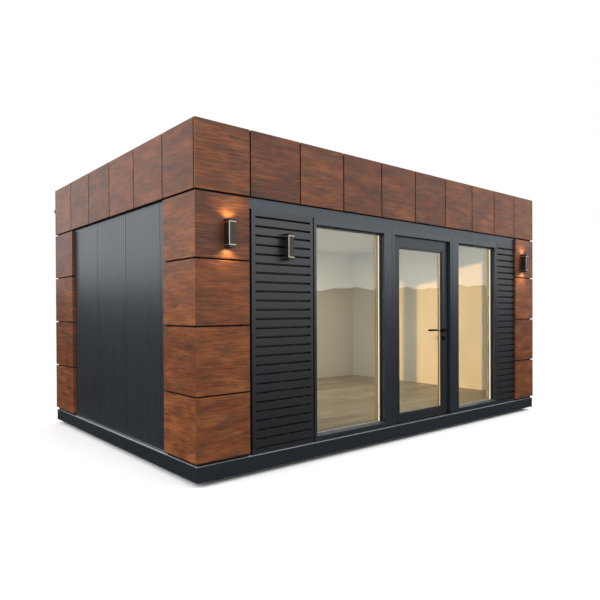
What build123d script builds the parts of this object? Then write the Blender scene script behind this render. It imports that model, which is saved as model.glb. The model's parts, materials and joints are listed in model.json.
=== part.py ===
from build123d import *

import math
import os

# Garden office pod: a flat-roofed modular cabin on levelling feet.
#
# Millimetres, +X along the front from the lamp-and-louvre end to the far end,
# +Y from the door side to the back, +Z up.  The origin is on the ground, under
# the centre of the whole pod's box.  Distances along the front are measured from
# the left face of the fascia ("along"); distances from an outer face towards the
# room are insets from the fascia's own plane.

# ---------------------------------------------------------------- overall size
LENGTH = 5370.0            # over the fascia boards, along X
WIDTH = 3543.0             # over the fascia boards, along Y
FOOT_HEIGHT = 45.0         # ground to the underside of the chassis
PLINTH_HEIGHT = 126.0      # height of the plinth skirt
FASCIA_BOTTOM = 2385.0     # underside of the fascia boards above ground
FASCIA_HEIGHT = 560.0
LAMP_DEPTH = 80.0          # how far a wall lamp stands off its wall
SPOUT_REACH = 300.0        # how far the rain spout stands out at the back

# -------------------------------------------------------------------- cladding
BOARD = 13.0               # thickness of a cladding board
CAVITY = 12.0              # ventilated gap between boards and what carries them
BOARD_JOINT = 14.0         # open joint between two boards
FASCIA_GAP = 18.0          # open gap between the fascia and the column boards
COLUMN_FRONT_LEFT = 520.0  # width of the left columns, seen from the front
COLUMN_FRONT_RIGHT = 465.0
COLUMN_SIDE_FRONT = 552.0  # width of the front columns, seen from an end
COLUMN_SIDE_BACK = 632.0
JOINTS_NEAR = (726.0, 1289.0, 1834.0)  # heights of the front left column's joints
JOINTS_FAR = (715.0, 1281.0, 1849.0)   # and of the front right column's
JOINTS_BACK = (741.0, 1286.0, 1831.0)  # and of both back columns'
COLUMN_BOTTOM_GAP = 30.0   # open gap between the plinth and the column boards
CORE = 12.0                # thickness of the L-shaped core behind the boards
CORNER_BOARD = 534.0       # first fascia board of the front, from the left
WIDE_BOARD = 555.0         # the boards that follow it
WIDE_BOARDS = 6
CLOSING_BOARDS = 3         # equal boards that close the rest of the front
END_BOARD = 563.0          # first fascia board of an end, from the front
END_BOARDS = 5             # equal boards that close the rest of the end
BATTEN = 40.0
BATTEN_FROM_CORNER = 60.0
BATTEN_FROM_EDGE = 8.0

# ----------------------------------------------------------------- wall panels
WALL = 120.0               # thickness of the insulated wall panels
PANEL = 750.0              # cover width of one wall panel
PANEL_START = 682.0        # first panel joint, from the corner of the fascia
PANEL_GROOVE = 6.0         # width of the groove where two panels lock
GROOVE_DEPTH = 4.0
FLOOR_DECK = 36.0
FLOOR_FINISH = 12.0
CEILING = 40.0
ROOM_HEIGHT = 2230.0       # floor finish to ceiling
ROOF_DECK = 175.0
ROOF_FALL = 40.0           # how much the roof drops towards the back
ROOF_BUILD_UP = 35.0       # thickness of the roof build-up at its lowest edge
KERB = 20.0                # plywood kerb inside the parapet
PARAPET_DROP = 8.0         # parapet's top below the top of the boards
COPING = 3.0
COPING_LEG = 30.0

# ------------------------------------------------------------------------ base
SKIRT_INSET = 8.0          # plinth skirt behind the fascia plane
SKIRT = 3.0                # sheet thickness of the skirt
RAIL = 80.0                # width of the chassis rails
JOIST = 50.0
JOIST_GAP = 460.0          # widest clear gap between two joists
CHANNEL = 6.0              # wall thickness of the chassis channels
FOOT_PAD = 90.0            # side of a foot's square pad
FOOT_PLATE = 10.0
FOOT_NUT = 20.0            # radius over the corners of a foot's lock nut
FOOT_NUT_HEIGHT = 12.0
FOOT_STEM = 12.0           # radius over the corners of a foot's stem
FOOT_INSET = 300.0         # rows of feet in from the front and the back
FOOT_JOISTS = 3            # every third joist stands on feet
FLASHING = 2.0
FLASHING_DRIP = 9.0        # how far the drip stands out from the wall
FLASHING_RISE = 12.0       # foot of the flashing above the plinth
FLASHING_LEG = 30.0

# ----------------------------------------------------------------- front zones
FRONT_SET = 25.0           # faces of frames and louvres behind the fascia plane
FRAME_TOP = 2285.0         # top of the frames above ground
HEAD = 64.0                # height of a frame's head rail
WINDOW_SIDE = 30.0         # face width of a window frame's sides
WINDOW_LEFT_START = 1275.0
WINDOW_LEFT_OPENING = 957.0
WINDOW_RIGHT_OPENING = 817.0
WINDOW_SILL = 52.0         # height of the window frame's bottom rail
SEAM = 4.0                 # width of the seam beside a post
SEAM_DEPTH = 8.0
POST = 97.0                # cover post between a window and the door, with its seam
DOOR_JAMB = 43.0
DOOR_OPENING = 1008.0
LOUVRE_LEFT_START = 560.0
LOUVRE_LEFT_END = 1260.0
LOUVRE_LEFT_STILE = 40.0
LOUVRE_RIGHT_STILE = 34.0
LOUVRE_THIN_STILE = 24.0
LOUVRE_BOTTOM_RAIL = 50.0
LOUVRE_PITCH = 80.0
LOUVRE_FACE = 61.0         # flat face of one louvre blade
LOUVRE_SLOT = 9.0          # open slot between two blades
LOUVRE_DEPTH = 32.0
LOUVRE_LEAN = 9.0          # how far a blade's top leans in
HEADER_INSET = 27.0        # ribbed header strip behind the fascia plane
GLASS = 24.0               # sealed glazing unit
GLASS_INSET = 57.0         # face of the glass behind the face of its frame
GLASS_EDGE = 1.0           # play between a pane and its rebate
BEAD = 15.0                # sight width of a glazing bead
BEAD_DEPTH = 12.0
SILL_RISE = 20.0
SILL_SHEET = 4.0
SILL_NOSE = 8.0

# ------------------------------------------------------------------------ door
LEAF_SET = 37.0            # leaf's face behind the frame's face
LEAF = 60.0                # leaf thickness
LEAF_GAP = 5.0             # clearance at the hinge side and the head
LATCH_GAP = 9.0            # clearance the swinging far edge needs
STOP_GAP = 6.0
STOP = 15.0
LEAF_SIDE = 118.0
LEAF_TOP = 128.0
LEAF_BOTTOM = 95.0
LEAF_GLASS_INSET = 18.0
LEAF_GLASS = 24.0
THRESHOLD = 8.0
THRESHOLD_GAP = 6.0
HINGE_HEIGHTS = (413.0, 1817.0, 2011.0)
KNUCKLE_RADIUS = 8.0
KNUCKLE = 30.0
KNUCKLE_GAP = 1.0
HINGE_PIN = 4.0
PIN_CLEARANCE = 0.3
HINGE_OFFSET = 12.0        # hinge axis in front of the leaf's face
HINGE_SIDE = 13.0          # hinge axis in from the frame's reveal
HINGE_WEB = 8.0
HINGE_PLATE = 3.0
HINGE_PLATE_WIDTH = 30.0
LEVER_HEIGHT = 1172.0
LEVER_BACKSET = 82.0       # spindle in from the leaf's latch edge
LEVER_LENGTH = 138.0
LEVER_BAR = 22.0           # height of the lever's flat bar
LEVER_THICKNESS = 14.0
LEVER_EASE = 3.0           # chamfer round the bar
LEVER_STAND = 48.0         # lever's centre line in front of the leaf
SPINDLE = 5.0
SPINDLE_CLEARANCE = 0.5
ROSE_RADIUS = 26.0
ROSE = 8.0
NECK_RADIUS = 9.0
KEY_DROP = 92.0
CYLINDER_RADIUS = 8.5
CYLINDER_STAND = 5.0

# ----------------------------------------------------------------------- lamps
LAMP_WIDTH = 68.0
LAMP_HEIGHT = 235.0
LAMP_CENTRE = 2044.0
LAMP_LOW_CENTRE = 1981.0   # centre of the lamp on the louvre
LAMP_FROM_END = 300.0      # lamp's centre in from either end of the front
LAMP_ON_LOUVRE = 937.0
LAMP_BODY_INSET = 3.0
TRIM = 7.0
TRIM_FROM_END = 20.0
LENS = 4.0
LENS_EDGE = 8.0            # wall of the housing round its lens
LENS_SET = 18.0            # lens in from the end of the housing

# ----------------------------------------------------------------------- spout
SPOUT_RADIUS = 30.0
SPOUT_WALL = 3.0
SPOUT_FLANGE = 34.0        # half the width of the flange round the spout
SPOUT_CLEARANCE = 0.3

# ------------------------------------------------------------------------ fits
BUTT = 0.3                 # hairline between like pieces that meet end to end

# ------------------------------------------------- planes worked out from these
LEFT = -LENGTH / 2
RIGHT = LENGTH / 2
FRONT = -(WIDTH + SPOUT_REACH - LAMP_DEPTH) / 2
BACK = FRONT + WIDTH
CORE_INSET = BOARD + CAVITY
WALL_INSET = CORE_INSET + CORE
ROOM_INSET = WALL_INSET + WALL
PLINTH_TOP = FOOT_HEIGHT + PLINTH_HEIGHT
CHASSIS_TOP = PLINTH_TOP - SKIRT
FLOOR_TOP = CHASSIS_TOP + FLOOR_DECK + FLOOR_FINISH
CEILING_BOTTOM = FLOOR_TOP + ROOM_HEIGHT
WALL_TOP = CEILING_BOTTOM + CEILING
ROOF_TOP = WALL_TOP + ROOF_DECK
FASCIA_TOP = FASCIA_BOTTOM + FASCIA_HEIGHT
PARAPET_TOP = FASCIA_TOP - PARAPET_DROP
PARAPET_BOTTOM = FASCIA_BOTTOM - FASCIA_GAP / 2
ROOF_LOW = ROOF_TOP + ROOF_BUILD_UP
ROOF_HIGH = ROOF_LOW + ROOF_FALL
KERB_INSET = WALL_INSET + KERB
HEAD_BOTTOM = FRAME_TOP - HEAD
COLUMN_BOTTOM = PLINTH_TOP + COLUMN_BOTTOM_GAP
COLUMN_TOP = FASCIA_BOTTOM - FASCIA_GAP
FRAME_FACE = FRONT + FRONT_SET
ROOM_FRONT = FRONT + ROOM_INSET
WINDOW_LEFT_END = WINDOW_LEFT_START + 2 * WINDOW_SIDE + WINDOW_LEFT_OPENING
POST_LEFT_START = WINDOW_LEFT_END
DOOR_FRAME_START = POST_LEFT_START + POST
DOOR_START = DOOR_FRAME_START + DOOR_JAMB
DOOR_END = DOOR_START + DOOR_OPENING
DOOR_FRAME_END = DOOR_END + DOOR_JAMB
POST_RIGHT_START = DOOR_FRAME_END
WINDOW_RIGHT_START = POST_RIGHT_START + POST
WINDOW_RIGHT_END = WINDOW_RIGHT_START + 2 * WINDOW_SIDE + WINDOW_RIGHT_OPENING
COLUMN_RIGHT_START = LENGTH - COLUMN_FRONT_RIGHT
LEAF_START = DOOR_START + LEAF_GAP
LEAF_END = DOOR_END - LATCH_GAP
LEAF_LOW = PLINTH_TOP + THRESHOLD + THRESHOLD_GAP
LEAF_HIGH = HEAD_BOTTOM - LEAF_GAP
LEAF_FACE = FRAME_FACE + LEAF_SET
LEAF_BACK = LEAF_FACE + LEAF
STOP_FACE = LEAF_BACK + STOP_GAP
SPOUT_X = LEFT + KERB_INSET + SPOUT_CLEARANCE + SPOUT_FLANGE
SPOUT_Z = ROOF_LOW + SPOUT_RADIUS + SPOUT_WALL
HINGE_X = LEFT + DOOR_START + HINGE_SIDE
HINGE_Y = LEAF_FACE - HINGE_OFFSET
SPINDLE_X = LEFT + LEAF_END - LEVER_BACKSET


# --------------------------------------------------------------------- helpers
def block(x, y, z):
    """Return a box between three (low, high) pairs."""
    size = [high - low for low, high in (x, y, z)]
    centre = [(low + high) / 2 for low, high in (x, y, z)]
    return Pos(*centre) * Box(*size)


def inset_block(inset, z):
    """Return the whole plan, drawn in by an inset all round, between two heights."""
    return block((LEFT + inset, RIGHT - inset), (FRONT + inset, BACK - inset), z)


def along(low, high):
    """Turn two distances along the front into a pair of X values."""
    return (LEFT + low, LEFT + high)


def prism_x(points, x):
    """Carry a closed (y, z) outline along X between a pair of X values."""
    outline = Polyline(*[(x[0], y, z) for y, z in points], close=True)
    return extrude(make_face(outline), amount=x[1] - x[0], dir=(1, 0, 0))


def prism_y(points, y):
    """Carry a closed (x, z) outline along Y between a pair of Y values."""
    outline = Polyline(*[(x, y[0], z) for x, z in points], close=True)
    return extrude(make_face(outline), amount=y[1] - y[0], dir=(0, 1, 0))


def prism_z(points, z):
    """Carry a closed (x, y) outline up between a pair of heights."""
    outline = Polyline(*[(px, py, z[0]) for px, py in points], close=True)
    return extrude(make_face(outline), amount=z[1] - z[0], dir=(0, 0, 1))


def rod(start, end, radius):
    """Return a round bar between two points."""
    axis = Vector(*end) - Vector(*start)
    plane = Plane(origin=start, z_dir=axis)
    bar = Cylinder(radius, axis.length, align=(Align.CENTER, Align.CENTER, Align.MIN))
    return plane * bar


def ring_slabs(inset, thickness, z):
    """Return front, back, left and right slabs that butt into a ring."""
    inner = inset + thickness
    x = (LEFT + inset, RIGHT - inset)
    y = (FRONT + inner + BUTT, BACK - inner - BUTT)
    return [
        block(x, (FRONT + inset, FRONT + inner), z),
        block(x, (BACK - inner, BACK - inset), z),
        block((LEFT + inset, LEFT + inner), y, z),
        block((RIGHT - inner, RIGHT - inset), y, z),
    ]


def save(name, *pieces):
    """Write one sub-part, given as shapes or lists of shapes, to parts/."""
    shapes = []
    for piece in pieces:
        shapes += piece if isinstance(piece, list) else [piece]
    solids = [solid for shape in shapes for solid in shape.solids()]
    export_step(solids[0] if len(solids) == 1 else Compound(solids), f"parts/{name}.step")


# ------------------------------------------------------------------------ base
def joist_centres():
    """X of each joist, spread evenly between the two end rails."""
    edge = SKIRT_INSET + SKIRT + RAIL
    clear = LENGTH - 2 * edge
    bays = math.ceil((clear + JOIST) / (JOIST_GAP + JOIST))
    pitch = (clear + JOIST) / bays
    return [LEFT + edge + index * pitch - JOIST / 2 for index in range(1, bays)]


def levelling_feet():
    """Adjustable feet under the joists: a square pad, a lock nut and a stem."""
    half = FOOT_PAD / 2
    foot = block((-half, half), (-half, half), (0, FOOT_PLATE))
    nut = extrude(RegularPolygon(FOOT_NUT, 6), amount=FOOT_NUT_HEIGHT)
    foot += Pos(0, 0, FOOT_PLATE) * nut
    foot += extrude(RegularPolygon(FOOT_STEM, 6), amount=FOOT_HEIGHT)
    rows = [FRONT + FOOT_INSET, (FRONT + BACK) / 2, BACK - FOOT_INSET]
    return [Pos(x, y, 0) * foot for x in joist_centres()[::FOOT_JOISTS] for y in rows]


def channel(outer, inward):
    """Outline of a chassis channel: its web outside, its flanges inward."""
    low, high = FOOT_HEIGHT, CHASSIS_TOP
    tip = outer + inward * RAIL
    web = outer + inward * CHANNEL
    return [
        (outer, low),
        (tip, low),
        (tip, low + CHANNEL),
        (web, low + CHANNEL),
        (web, high - CHANNEL),
        (tip, high - CHANNEL),
        (tip, high),
        (outer, high),
    ]


def base_frame():
    """Steel chassis: channel rails all round with joists across."""
    edge = SKIRT_INSET + SKIRT
    x = (LEFT + edge, RIGHT - edge)
    y = (FRONT + edge + RAIL + BUTT, BACK - edge - RAIL - BUTT)
    rails = [
        prism_x(channel(FRONT + edge, 1), x),
        prism_x(channel(BACK - edge, -1), x),
        prism_y(channel(LEFT + edge, 1), y),
        prism_y(channel(RIGHT - edge, -1), y),
    ]
    half = JOIST / 2
    z = (FOOT_HEIGHT, CHASSIS_TOP)
    return rails + [block((c - half, c + half), y, z) for c in joist_centres()]


def base_skirt():
    """Folded sheet: an upright skirt with a ledge that runs in under the walls."""
    edge = SKIRT_INSET
    skin = SKIRT_INSET + SKIRT
    outer = inset_block(edge, (FOOT_HEIGHT, PLINTH_TOP))
    under = inset_block(skin, (FOOT_HEIGHT, CHASSIS_TOP))
    hole = inset_block(ROOM_INSET, (CHASSIS_TOP, PLINTH_TOP))
    return outer - under - hole


def base_flashing():
    """Drip flashing along the foot of the three panel walls."""
    low = PLINTH_TOP + FLASHING_RISE
    bend = low + FLASHING_DRIP / 3
    high = low + FLASHING_LEG
    face = WALL_INSET
    profile = [
        (face, high),
        (face - FLASHING, high),
        (face - FLASHING, bend + FLASHING),
        (face - FLASHING_DRIP, low + FLASHING),
        (face - FLASHING_DRIP, low),
        (face, bend),
    ]
    y = (FRONT + COLUMN_SIDE_FRONT, BACK - COLUMN_SIDE_BACK)
    x = along(COLUMN_FRONT_LEFT, COLUMN_RIGHT_START)
    return [
        prism_y([(LEFT + inset, z) for inset, z in profile], y),
        prism_y([(RIGHT - inset, z) for inset, z in profile], y),
        prism_x([(BACK - inset, z) for inset, z in profile], x),
    ]


# ------------------------------------------------------------- floor and walls
def floor_deck():
    return inset_block(ROOM_INSET, (CHASSIS_TOP, CHASSIS_TOP + FLOOR_DECK))


def floor_finish():
    return inset_block(ROOM_INSET, (CHASSIS_TOP + FLOOR_DECK, FLOOR_TOP))


def panel_joints(start, end, low, high):
    """Places of panel joints at the cover width, from start, inside low to high."""
    places = []
    place = start
    while place < end:
        if low < place < high:
            places.append(place)
        place += PANEL
    return places


def side_wall(outer, inward):
    """Insulated panels of one end, with a groove where two panels lock."""
    face = outer + inward * WALL_INSET
    inner = outer + inward * ROOM_INSET
    y = (FRONT + WALL_INSET, BACK - WALL_INSET)
    z = (PLINTH_TOP, WALL_TOP)
    wall = block(tuple(sorted((face, inner))), y, z)
    depth = tuple(sorted((face, face + inward * GROOVE_DEPTH)))
    half = PANEL_GROOVE / 2
    for place in panel_joints(FRONT + PANEL_START, BACK, *y):
        wall -= block(depth, (place - half, place + half), z)
    return wall


def back_wall():
    """Insulated panels of the back, between the two end walls."""
    x = (LEFT + ROOM_INSET, RIGHT - ROOM_INSET)
    face = BACK - WALL_INSET
    z = (PLINTH_TOP, WALL_TOP)
    wall = block(x, (BACK - ROOM_INSET, face), z)
    half = PANEL_GROOVE / 2
    for place in panel_joints(LEFT + PANEL_START, RIGHT, *x):
        wall -= block((place - half, place + half), (face - GROOVE_DEPTH, face), z)
    return wall


def front_wall(low, high, z):
    """Length of the front wall, set back between the columns behind the louvres."""
    wall = block(along(low, high), (FRONT + WALL_INSET, ROOM_FRONT), z)
    between = along(COLUMN_FRONT_LEFT, COLUMN_RIGHT_START)
    return wall - block(between, (FRONT + WALL_INSET, FRAME_FACE + LOUVRE_DEPTH), (0, FRAME_TOP))


def header_cladding():
    """Ribbed strip between the columns, over the frames and louvres."""
    y = (FRONT + HEADER_INSET, FRONT + WALL_INSET)
    return block(along(COLUMN_FRONT_LEFT, COLUMN_RIGHT_START), y, (FRAME_TOP, PARAPET_BOTTOM))


# ------------------------------------------------------------ ceiling and roof
def ceiling_panel():
    return inset_block(ROOM_INSET, (CEILING_BOTTOM, WALL_TOP))


def roof_deck():
    return inset_block(WALL_INSET, (WALL_TOP, ROOF_TOP))


def roof_covering():
    """Sealed build-up that falls towards the back."""
    outline = [
        (FRONT + KERB_INSET, ROOF_TOP),
        (BACK - KERB_INSET, ROOF_TOP),
        (BACK - KERB_INSET, ROOF_LOW),
        (FRONT + KERB_INSET, ROOF_HIGH),
    ]
    return prism_x(outline, (LEFT + KERB_INSET, RIGHT - KERB_INSET))


def spout_hole(inset, thickness):
    """Clearance hole for the spout through a layer of the back parapet."""
    y = BACK - inset
    radius = SPOUT_RADIUS + SPOUT_CLEARANCE
    return rod((SPOUT_X, y - thickness - 1, SPOUT_Z), (SPOUT_X, y + 1, SPOUT_Z), radius)


def parapet_kerb():
    """Plywood kerb that stands on the deck inside the parapet."""
    slabs = ring_slabs(WALL_INSET, KERB, (ROOF_TOP, PARAPET_TOP))
    slabs[1] -= spout_hole(WALL_INSET, KERB)
    return slabs


def parapet_frame():
    """Boarding of the parapet that carries the fascia's rails."""
    slabs = ring_slabs(CORE_INSET, CORE, (PARAPET_BOTTOM, PARAPET_TOP))
    slabs[1] -= spout_hole(CORE_INSET, CORE)
    return slabs


def parapet_coping():
    """Pressed metal capping over kerb and boarding, behind the fascia boards."""
    top = (PARAPET_TOP, PARAPET_TOP + COPING)
    leg = (PARAPET_TOP - COPING_LEG, PARAPET_TOP)
    cap = inset_block(BOARD, top) - inset_block(KERB_INSET + COPING, top)
    return cap + (inset_block(KERB_INSET, leg) - inset_block(KERB_INSET + COPING, leg))


def rain_spout():
    """Outlet tube through the back parapet, with a flange and a slashed mouth."""
    inner_face = BACK - KERB_INSET
    mouth = BACK + SPOUT_REACH
    outer = rod((SPOUT_X, inner_face, SPOUT_Z), (SPOUT_X, mouth, SPOUT_Z), SPOUT_RADIUS)
    high = SPOUT_Z + SPOUT_FLANGE
    flange = block(
        (SPOUT_X - SPOUT_FLANGE, SPOUT_X + SPOUT_FLANGE),
        (inner_face - SPOUT_WALL, inner_face),
        (ROOF_LOW + SPOUT_CLEARANCE, high),
    )
    bore_start = (SPOUT_X, inner_face - SPOUT_WALL, SPOUT_Z)
    bore = rod(bore_start, (SPOUT_X, mouth, SPOUT_Z), SPOUT_RADIUS - SPOUT_WALL)
    low = SPOUT_Z - SPOUT_RADIUS
    slash = [(mouth, SPOUT_Z + SPOUT_RADIUS), (mouth, low), (mouth - 2 * SPOUT_RADIUS, low)]
    cut = prism_x(slash, (SPOUT_X - SPOUT_RADIUS, SPOUT_X + SPOUT_RADIUS))
    return outer + flange - bore - cut


# -------------------------------------------------------------------- cladding
def board_row(joints, low, high):
    """Turn joint places into the (start, end) of each board between low and high."""
    half = BOARD_JOINT / 2
    starts = [low] + [place + half for place in joints]
    ends = [place - half for place in joints] + [high]
    return list(zip(starts, ends))


def front_joints():
    """Places of the fascia's joints along the front and the back."""
    places = [CORNER_BOARD + index * WIDE_BOARD for index in range(WIDE_BOARDS + 1)]
    closing = (LENGTH - places[-1]) / CLOSING_BOARDS
    return places + [places[-1] + index * closing for index in range(1, CLOSING_BOARDS)]


def end_joints():
    """Places of the fascia's joints along an end, from the front."""
    pitch = (WIDTH - END_BOARD) / END_BOARDS
    return [END_BOARD + index * pitch for index in range(END_BOARDS)]


def fascia_long(y):
    """Fascia boards of the front or the back, out to both corners."""
    z = (FASCIA_BOTTOM, FASCIA_TOP)
    spans = board_row(front_joints(), 0, LENGTH)
    return [block(along(start, end), y, z) for start, end in spans]


def fascia_back():
    boards = fascia_long((BACK - BOARD, BACK))
    boards[0] -= spout_hole(0, BOARD)
    return boards


def fascia_end(x):
    """Fascia boards of an end, butted behind the front and back boards."""
    z = (FASCIA_BOTTOM, FASCIA_TOP)
    tuck = BOARD + BOARD_JOINT
    spans = board_row(end_joints(), tuck, WIDTH - tuck)
    return [block(x, (FRONT + start, FRONT + end), z) for start, end in spans]


def corner(side_x, side_y):
    """Return a function from (in along the front, in along the end) to X, Y."""
    x = LEFT if side_x > 0 else RIGHT
    y = FRONT if side_y > 0 else BACK
    return lambda u, v: (x + side_x * u, y + side_y * v)


def column_core(place, front, side, front_return, _):
    """L-shaped core of a corner column, against the walls.

    A leg whose boards return to the wall ends behind that return.
    """
    low, high = CORE_INSET, WALL_INSET
    covered = BOARD + BUTT
    front -= covered if front_return > CORE_INSET else 0
    side -= covered
    outline = [(low, low), (front, low), (front, high), (high, high), (high, side), (low, side)]
    return prism_z([place(u, v) for u, v in outline], (PLINTH_TOP, PARAPET_BOTTOM))


def column_leg(width, depth):
    """Outline of the board on one side of a corner: mitred, with a return."""
    inner = width - BOARD
    mitre = [(BUTT, 0), (width, 0), (width, depth), (inner, depth)]
    return mitre + [(inner, BOARD), (BOARD + BUTT, BOARD)]


def column_boards(place, front, side, front_return, joints):
    """Rows of boards round a corner, mitred there, with returned free edges."""
    boards = []
    for z in board_row(list(joints), COLUMN_BOTTOM, COLUMN_TOP):
        front_leg = column_leg(front, front_return)
        side_leg = column_leg(side, WALL_INSET)
        boards.append(prism_z([place(u, v) for u, v in front_leg], z))
        boards.append(prism_z([place(u, v) for v, u in side_leg], z))
    return boards


def cladding_battens():
    """Battens in the cavity: upright behind the columns, level behind the fascia."""
    battens = []
    z = (COLUMN_BOTTOM + BATTEN, COLUMN_TOP - BATTEN)
    for place, front, side, *_ in COLUMNS:
        for width, turn in ((front, False), (side, True)):
            for start in (BATTEN_FROM_CORNER, width - BOARD - BATTEN_FROM_EDGE - BATTEN):
                outline = [
                    (start, BOARD),
                    (start + BATTEN, BOARD),
                    (start + BATTEN, CORE_INSET),
                    (start, CORE_INSET),
                ]
                points = [place(v, u) if turn else place(u, v) for u, v in outline]
                battens.append(prism_z(points, z))
    inset = BATTEN_FROM_CORNER
    x = (LEFT + inset, RIGHT - inset)
    y = (FRONT + inset, BACK - inset)
    for low in (FASCIA_BOTTOM + BATTEN, PARAPET_TOP - 2 * BATTEN):
        z = (low, low + BATTEN)
        battens += [
            block(x, (FRONT + BOARD, FRONT + CORE_INSET), z),
            block(x, (BACK - CORE_INSET, BACK - BOARD), z),
            block((LEFT + BOARD, LEFT + CORE_INSET), y, z),
            block((RIGHT - CORE_INSET, RIGHT - BOARD), y, z),
        ]
    return battens


# -------------------------------------------------------------------- louvres
def louvre(start, end, left_stile, right_stile):
    """Framed louvre: blades with a sloped top between two stiles and two rails."""
    face, back = FRAME_FACE, FRAME_FACE + LOUVRE_DEPTH
    low = PLINTH_TOP + LOUVRE_BOTTOM_RAIL
    blades = int((HEAD_BOTTOM - low) // LOUVRE_PITCH)
    high = low + blades * LOUVRE_PITCH + LOUVRE_SLOT
    inside = (start + left_stile, end - right_stile)
    frame = block(along(start, end), (face, back), (PLINTH_TOP, FRAME_TOP))
    frame -= block(along(*inside), (face, back), (low, high))
    slope = LOUVRE_PITCH - LOUVRE_SLOT - LOUVRE_FACE
    pieces = [frame]
    for index in range(blades):
        foot = low + LOUVRE_SLOT + index * LOUVRE_PITCH
        top = foot + LOUVRE_FACE + slope
        blade = [
            (face, foot),
            (face, foot + LOUVRE_FACE),
            (face + LOUVRE_LEAN, top),
            (back, top),
            (back, foot),
        ]
        pieces.append(prism_x(blade, along(inside[0] + BUTT, inside[1] - BUTT)))
    return pieces


# -------------------------------------------------------------------- windows
def glazed_frame(x, z, y, sides, glass):
    """Frame with a rebated pane and a bead on both sides of the glass.

    sides are the widths of left, right, bottom and top; glass is the (front,
    back) of the pane.  Returns the frame and the pane.
    """
    left, right, bottom, top = sides
    open_x = (x[0] + left, x[1] - right)
    open_z = (z[0] + bottom, z[1] - top)
    sight_x = (open_x[0] + BEAD, open_x[1] - BEAD)
    sight_z = (open_z[0] + BEAD, open_z[1] - BEAD)
    frame = block(x, y, z)
    frame -= block(open_x, (y[0], glass[0] - BEAD_DEPTH), open_z)
    frame -= block(open_x, (glass[1] + BEAD_DEPTH, y[1]), open_z)
    frame -= block(open_x, glass, open_z)
    frame -= block(sight_x, y, sight_z)
    edge = GLASS_EDGE
    pane_x = (open_x[0] + edge, open_x[1] - edge)
    pane = block(pane_x, glass, (open_z[0] + edge, open_z[1] - edge))
    return frame, pane


def window(start, opening):
    """Fixed window: frame and pane, from the start of its frame."""
    x = along(start, start + 2 * WINDOW_SIDE + opening)
    z = (PLINTH_TOP, FRAME_TOP)
    glass = (FRAME_FACE + GLASS_INSET, FRAME_FACE + GLASS_INSET + GLASS)
    sides = (WINDOW_SIDE, WINDOW_SIDE, WINDOW_SILL, HEAD)
    return glazed_frame(x, z, (FRAME_FACE, ROOM_FRONT), sides, glass)


def window_sill(start, opening):
    """Pressed sill: slopes out over the frame's bottom rail to a turned nose."""
    inner = FRAME_FACE + GLASS_INSET - BEAD_DEPTH
    low = PLINTH_TOP + WINDOW_SILL
    nose = FRAME_FACE - SILL_NOSE
    outline = [
        (FRAME_FACE, low),
        (inner, low),
        (inner, low + SILL_RISE),
        (nose, low + SILL_SHEET),
        (nose, low - 3 * SILL_SHEET),
        (nose + SILL_SHEET / 2, low - 3 * SILL_SHEET),
        (nose + SILL_SHEET / 2, low),
    ]
    first = start + WINDOW_SIDE
    return prism_x(outline, along(first, first + opening))


def post(start, seam_after):
    """Cover post with a seam along one front edge."""
    end = start + POST
    y = (FRAME_FACE, FRAME_FACE + SEAM_DEPTH, ROOM_FRONT)
    if seam_after:
        notch = [(end, y[2]), (end, y[1]), (end - SEAM, y[1]), (end - SEAM, y[0]), (start, y[0])]
        outline = [(start, y[2])] + notch
    else:
        notch = [(start, y[2]), (start, y[1]), (start + SEAM, y[1]), (start + SEAM, y[0])]
        outline = notch + [(end, y[0]), (end, y[2])]
    return prism_z([(LEFT + u, v) for u, v in outline], (PLINTH_TOP, FRAME_TOP))


# ------------------------------------------------------------------------ door
def door_frame():
    """Two jambs and a head in one piece, with a stop behind the leaf."""
    x = along(DOOR_FRAME_START, DOOR_FRAME_END)
    low = PLINTH_TOP
    frame = block(x, (FRAME_FACE, ROOM_FRONT), (low, FRAME_TOP))
    frame -= block(along(DOOR_START, DOOR_END), (FRAME_FACE, STOP_FACE), (low, HEAD_BOTTOM))
    inside = along(DOOR_START + STOP, DOOR_END - STOP)
    return frame - block(inside, (STOP_FACE, ROOM_FRONT), (low, HEAD_BOTTOM - STOP))


def door_threshold():
    """Low sill under the leaf with a step up to the floor behind it."""
    top = PLINTH_TOP + THRESHOLD
    nose = FRAME_FACE - SILL_NOSE
    outline = [
        (nose, PLINTH_TOP),
        (STOP_FACE, PLINTH_TOP),
        (STOP_FACE, top),
        (nose + THRESHOLD / 2, top),
        (nose, PLINTH_TOP + THRESHOLD / 2),
    ]
    sill = prism_x(outline, along(DOOR_START, DOOR_END))
    inside = along(DOOR_START + STOP, DOOR_END - STOP)
    return sill + block(inside, (STOP_FACE, ROOM_FRONT), (PLINTH_TOP, FLOOR_TOP))


def door_leaf():
    """Leaf frame and its pane, with bores for the spindle and the cylinder."""
    face = LEAF_FACE + LEAF_GLASS_INSET
    leaf, pane = glazed_frame(
        along(LEAF_START, LEAF_END),
        (LEAF_LOW, LEAF_HIGH),
        (LEAF_FACE, LEAF_BACK),
        (LEAF_SIDE - BEAD, LEAF_SIDE - BEAD, LEAF_BOTTOM - BEAD, LEAF_TOP - BEAD),
        (face, face + LEAF_GLASS),
    )
    front, back = LEAF_FACE - 1, LEAF_BACK + 1
    spindle = SPINDLE + SPINDLE_CLEARANCE
    leaf -= rod((SPINDLE_X, front, LEVER_HEIGHT), (SPINDLE_X, back, LEVER_HEIGHT), spindle)
    key = LEVER_HEIGHT - KEY_DROP
    leaf -= rod((SPINDLE_X, front, key), (SPINDLE_X, back, key), CYLINDER_RADIUS)
    return leaf, pane


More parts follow.
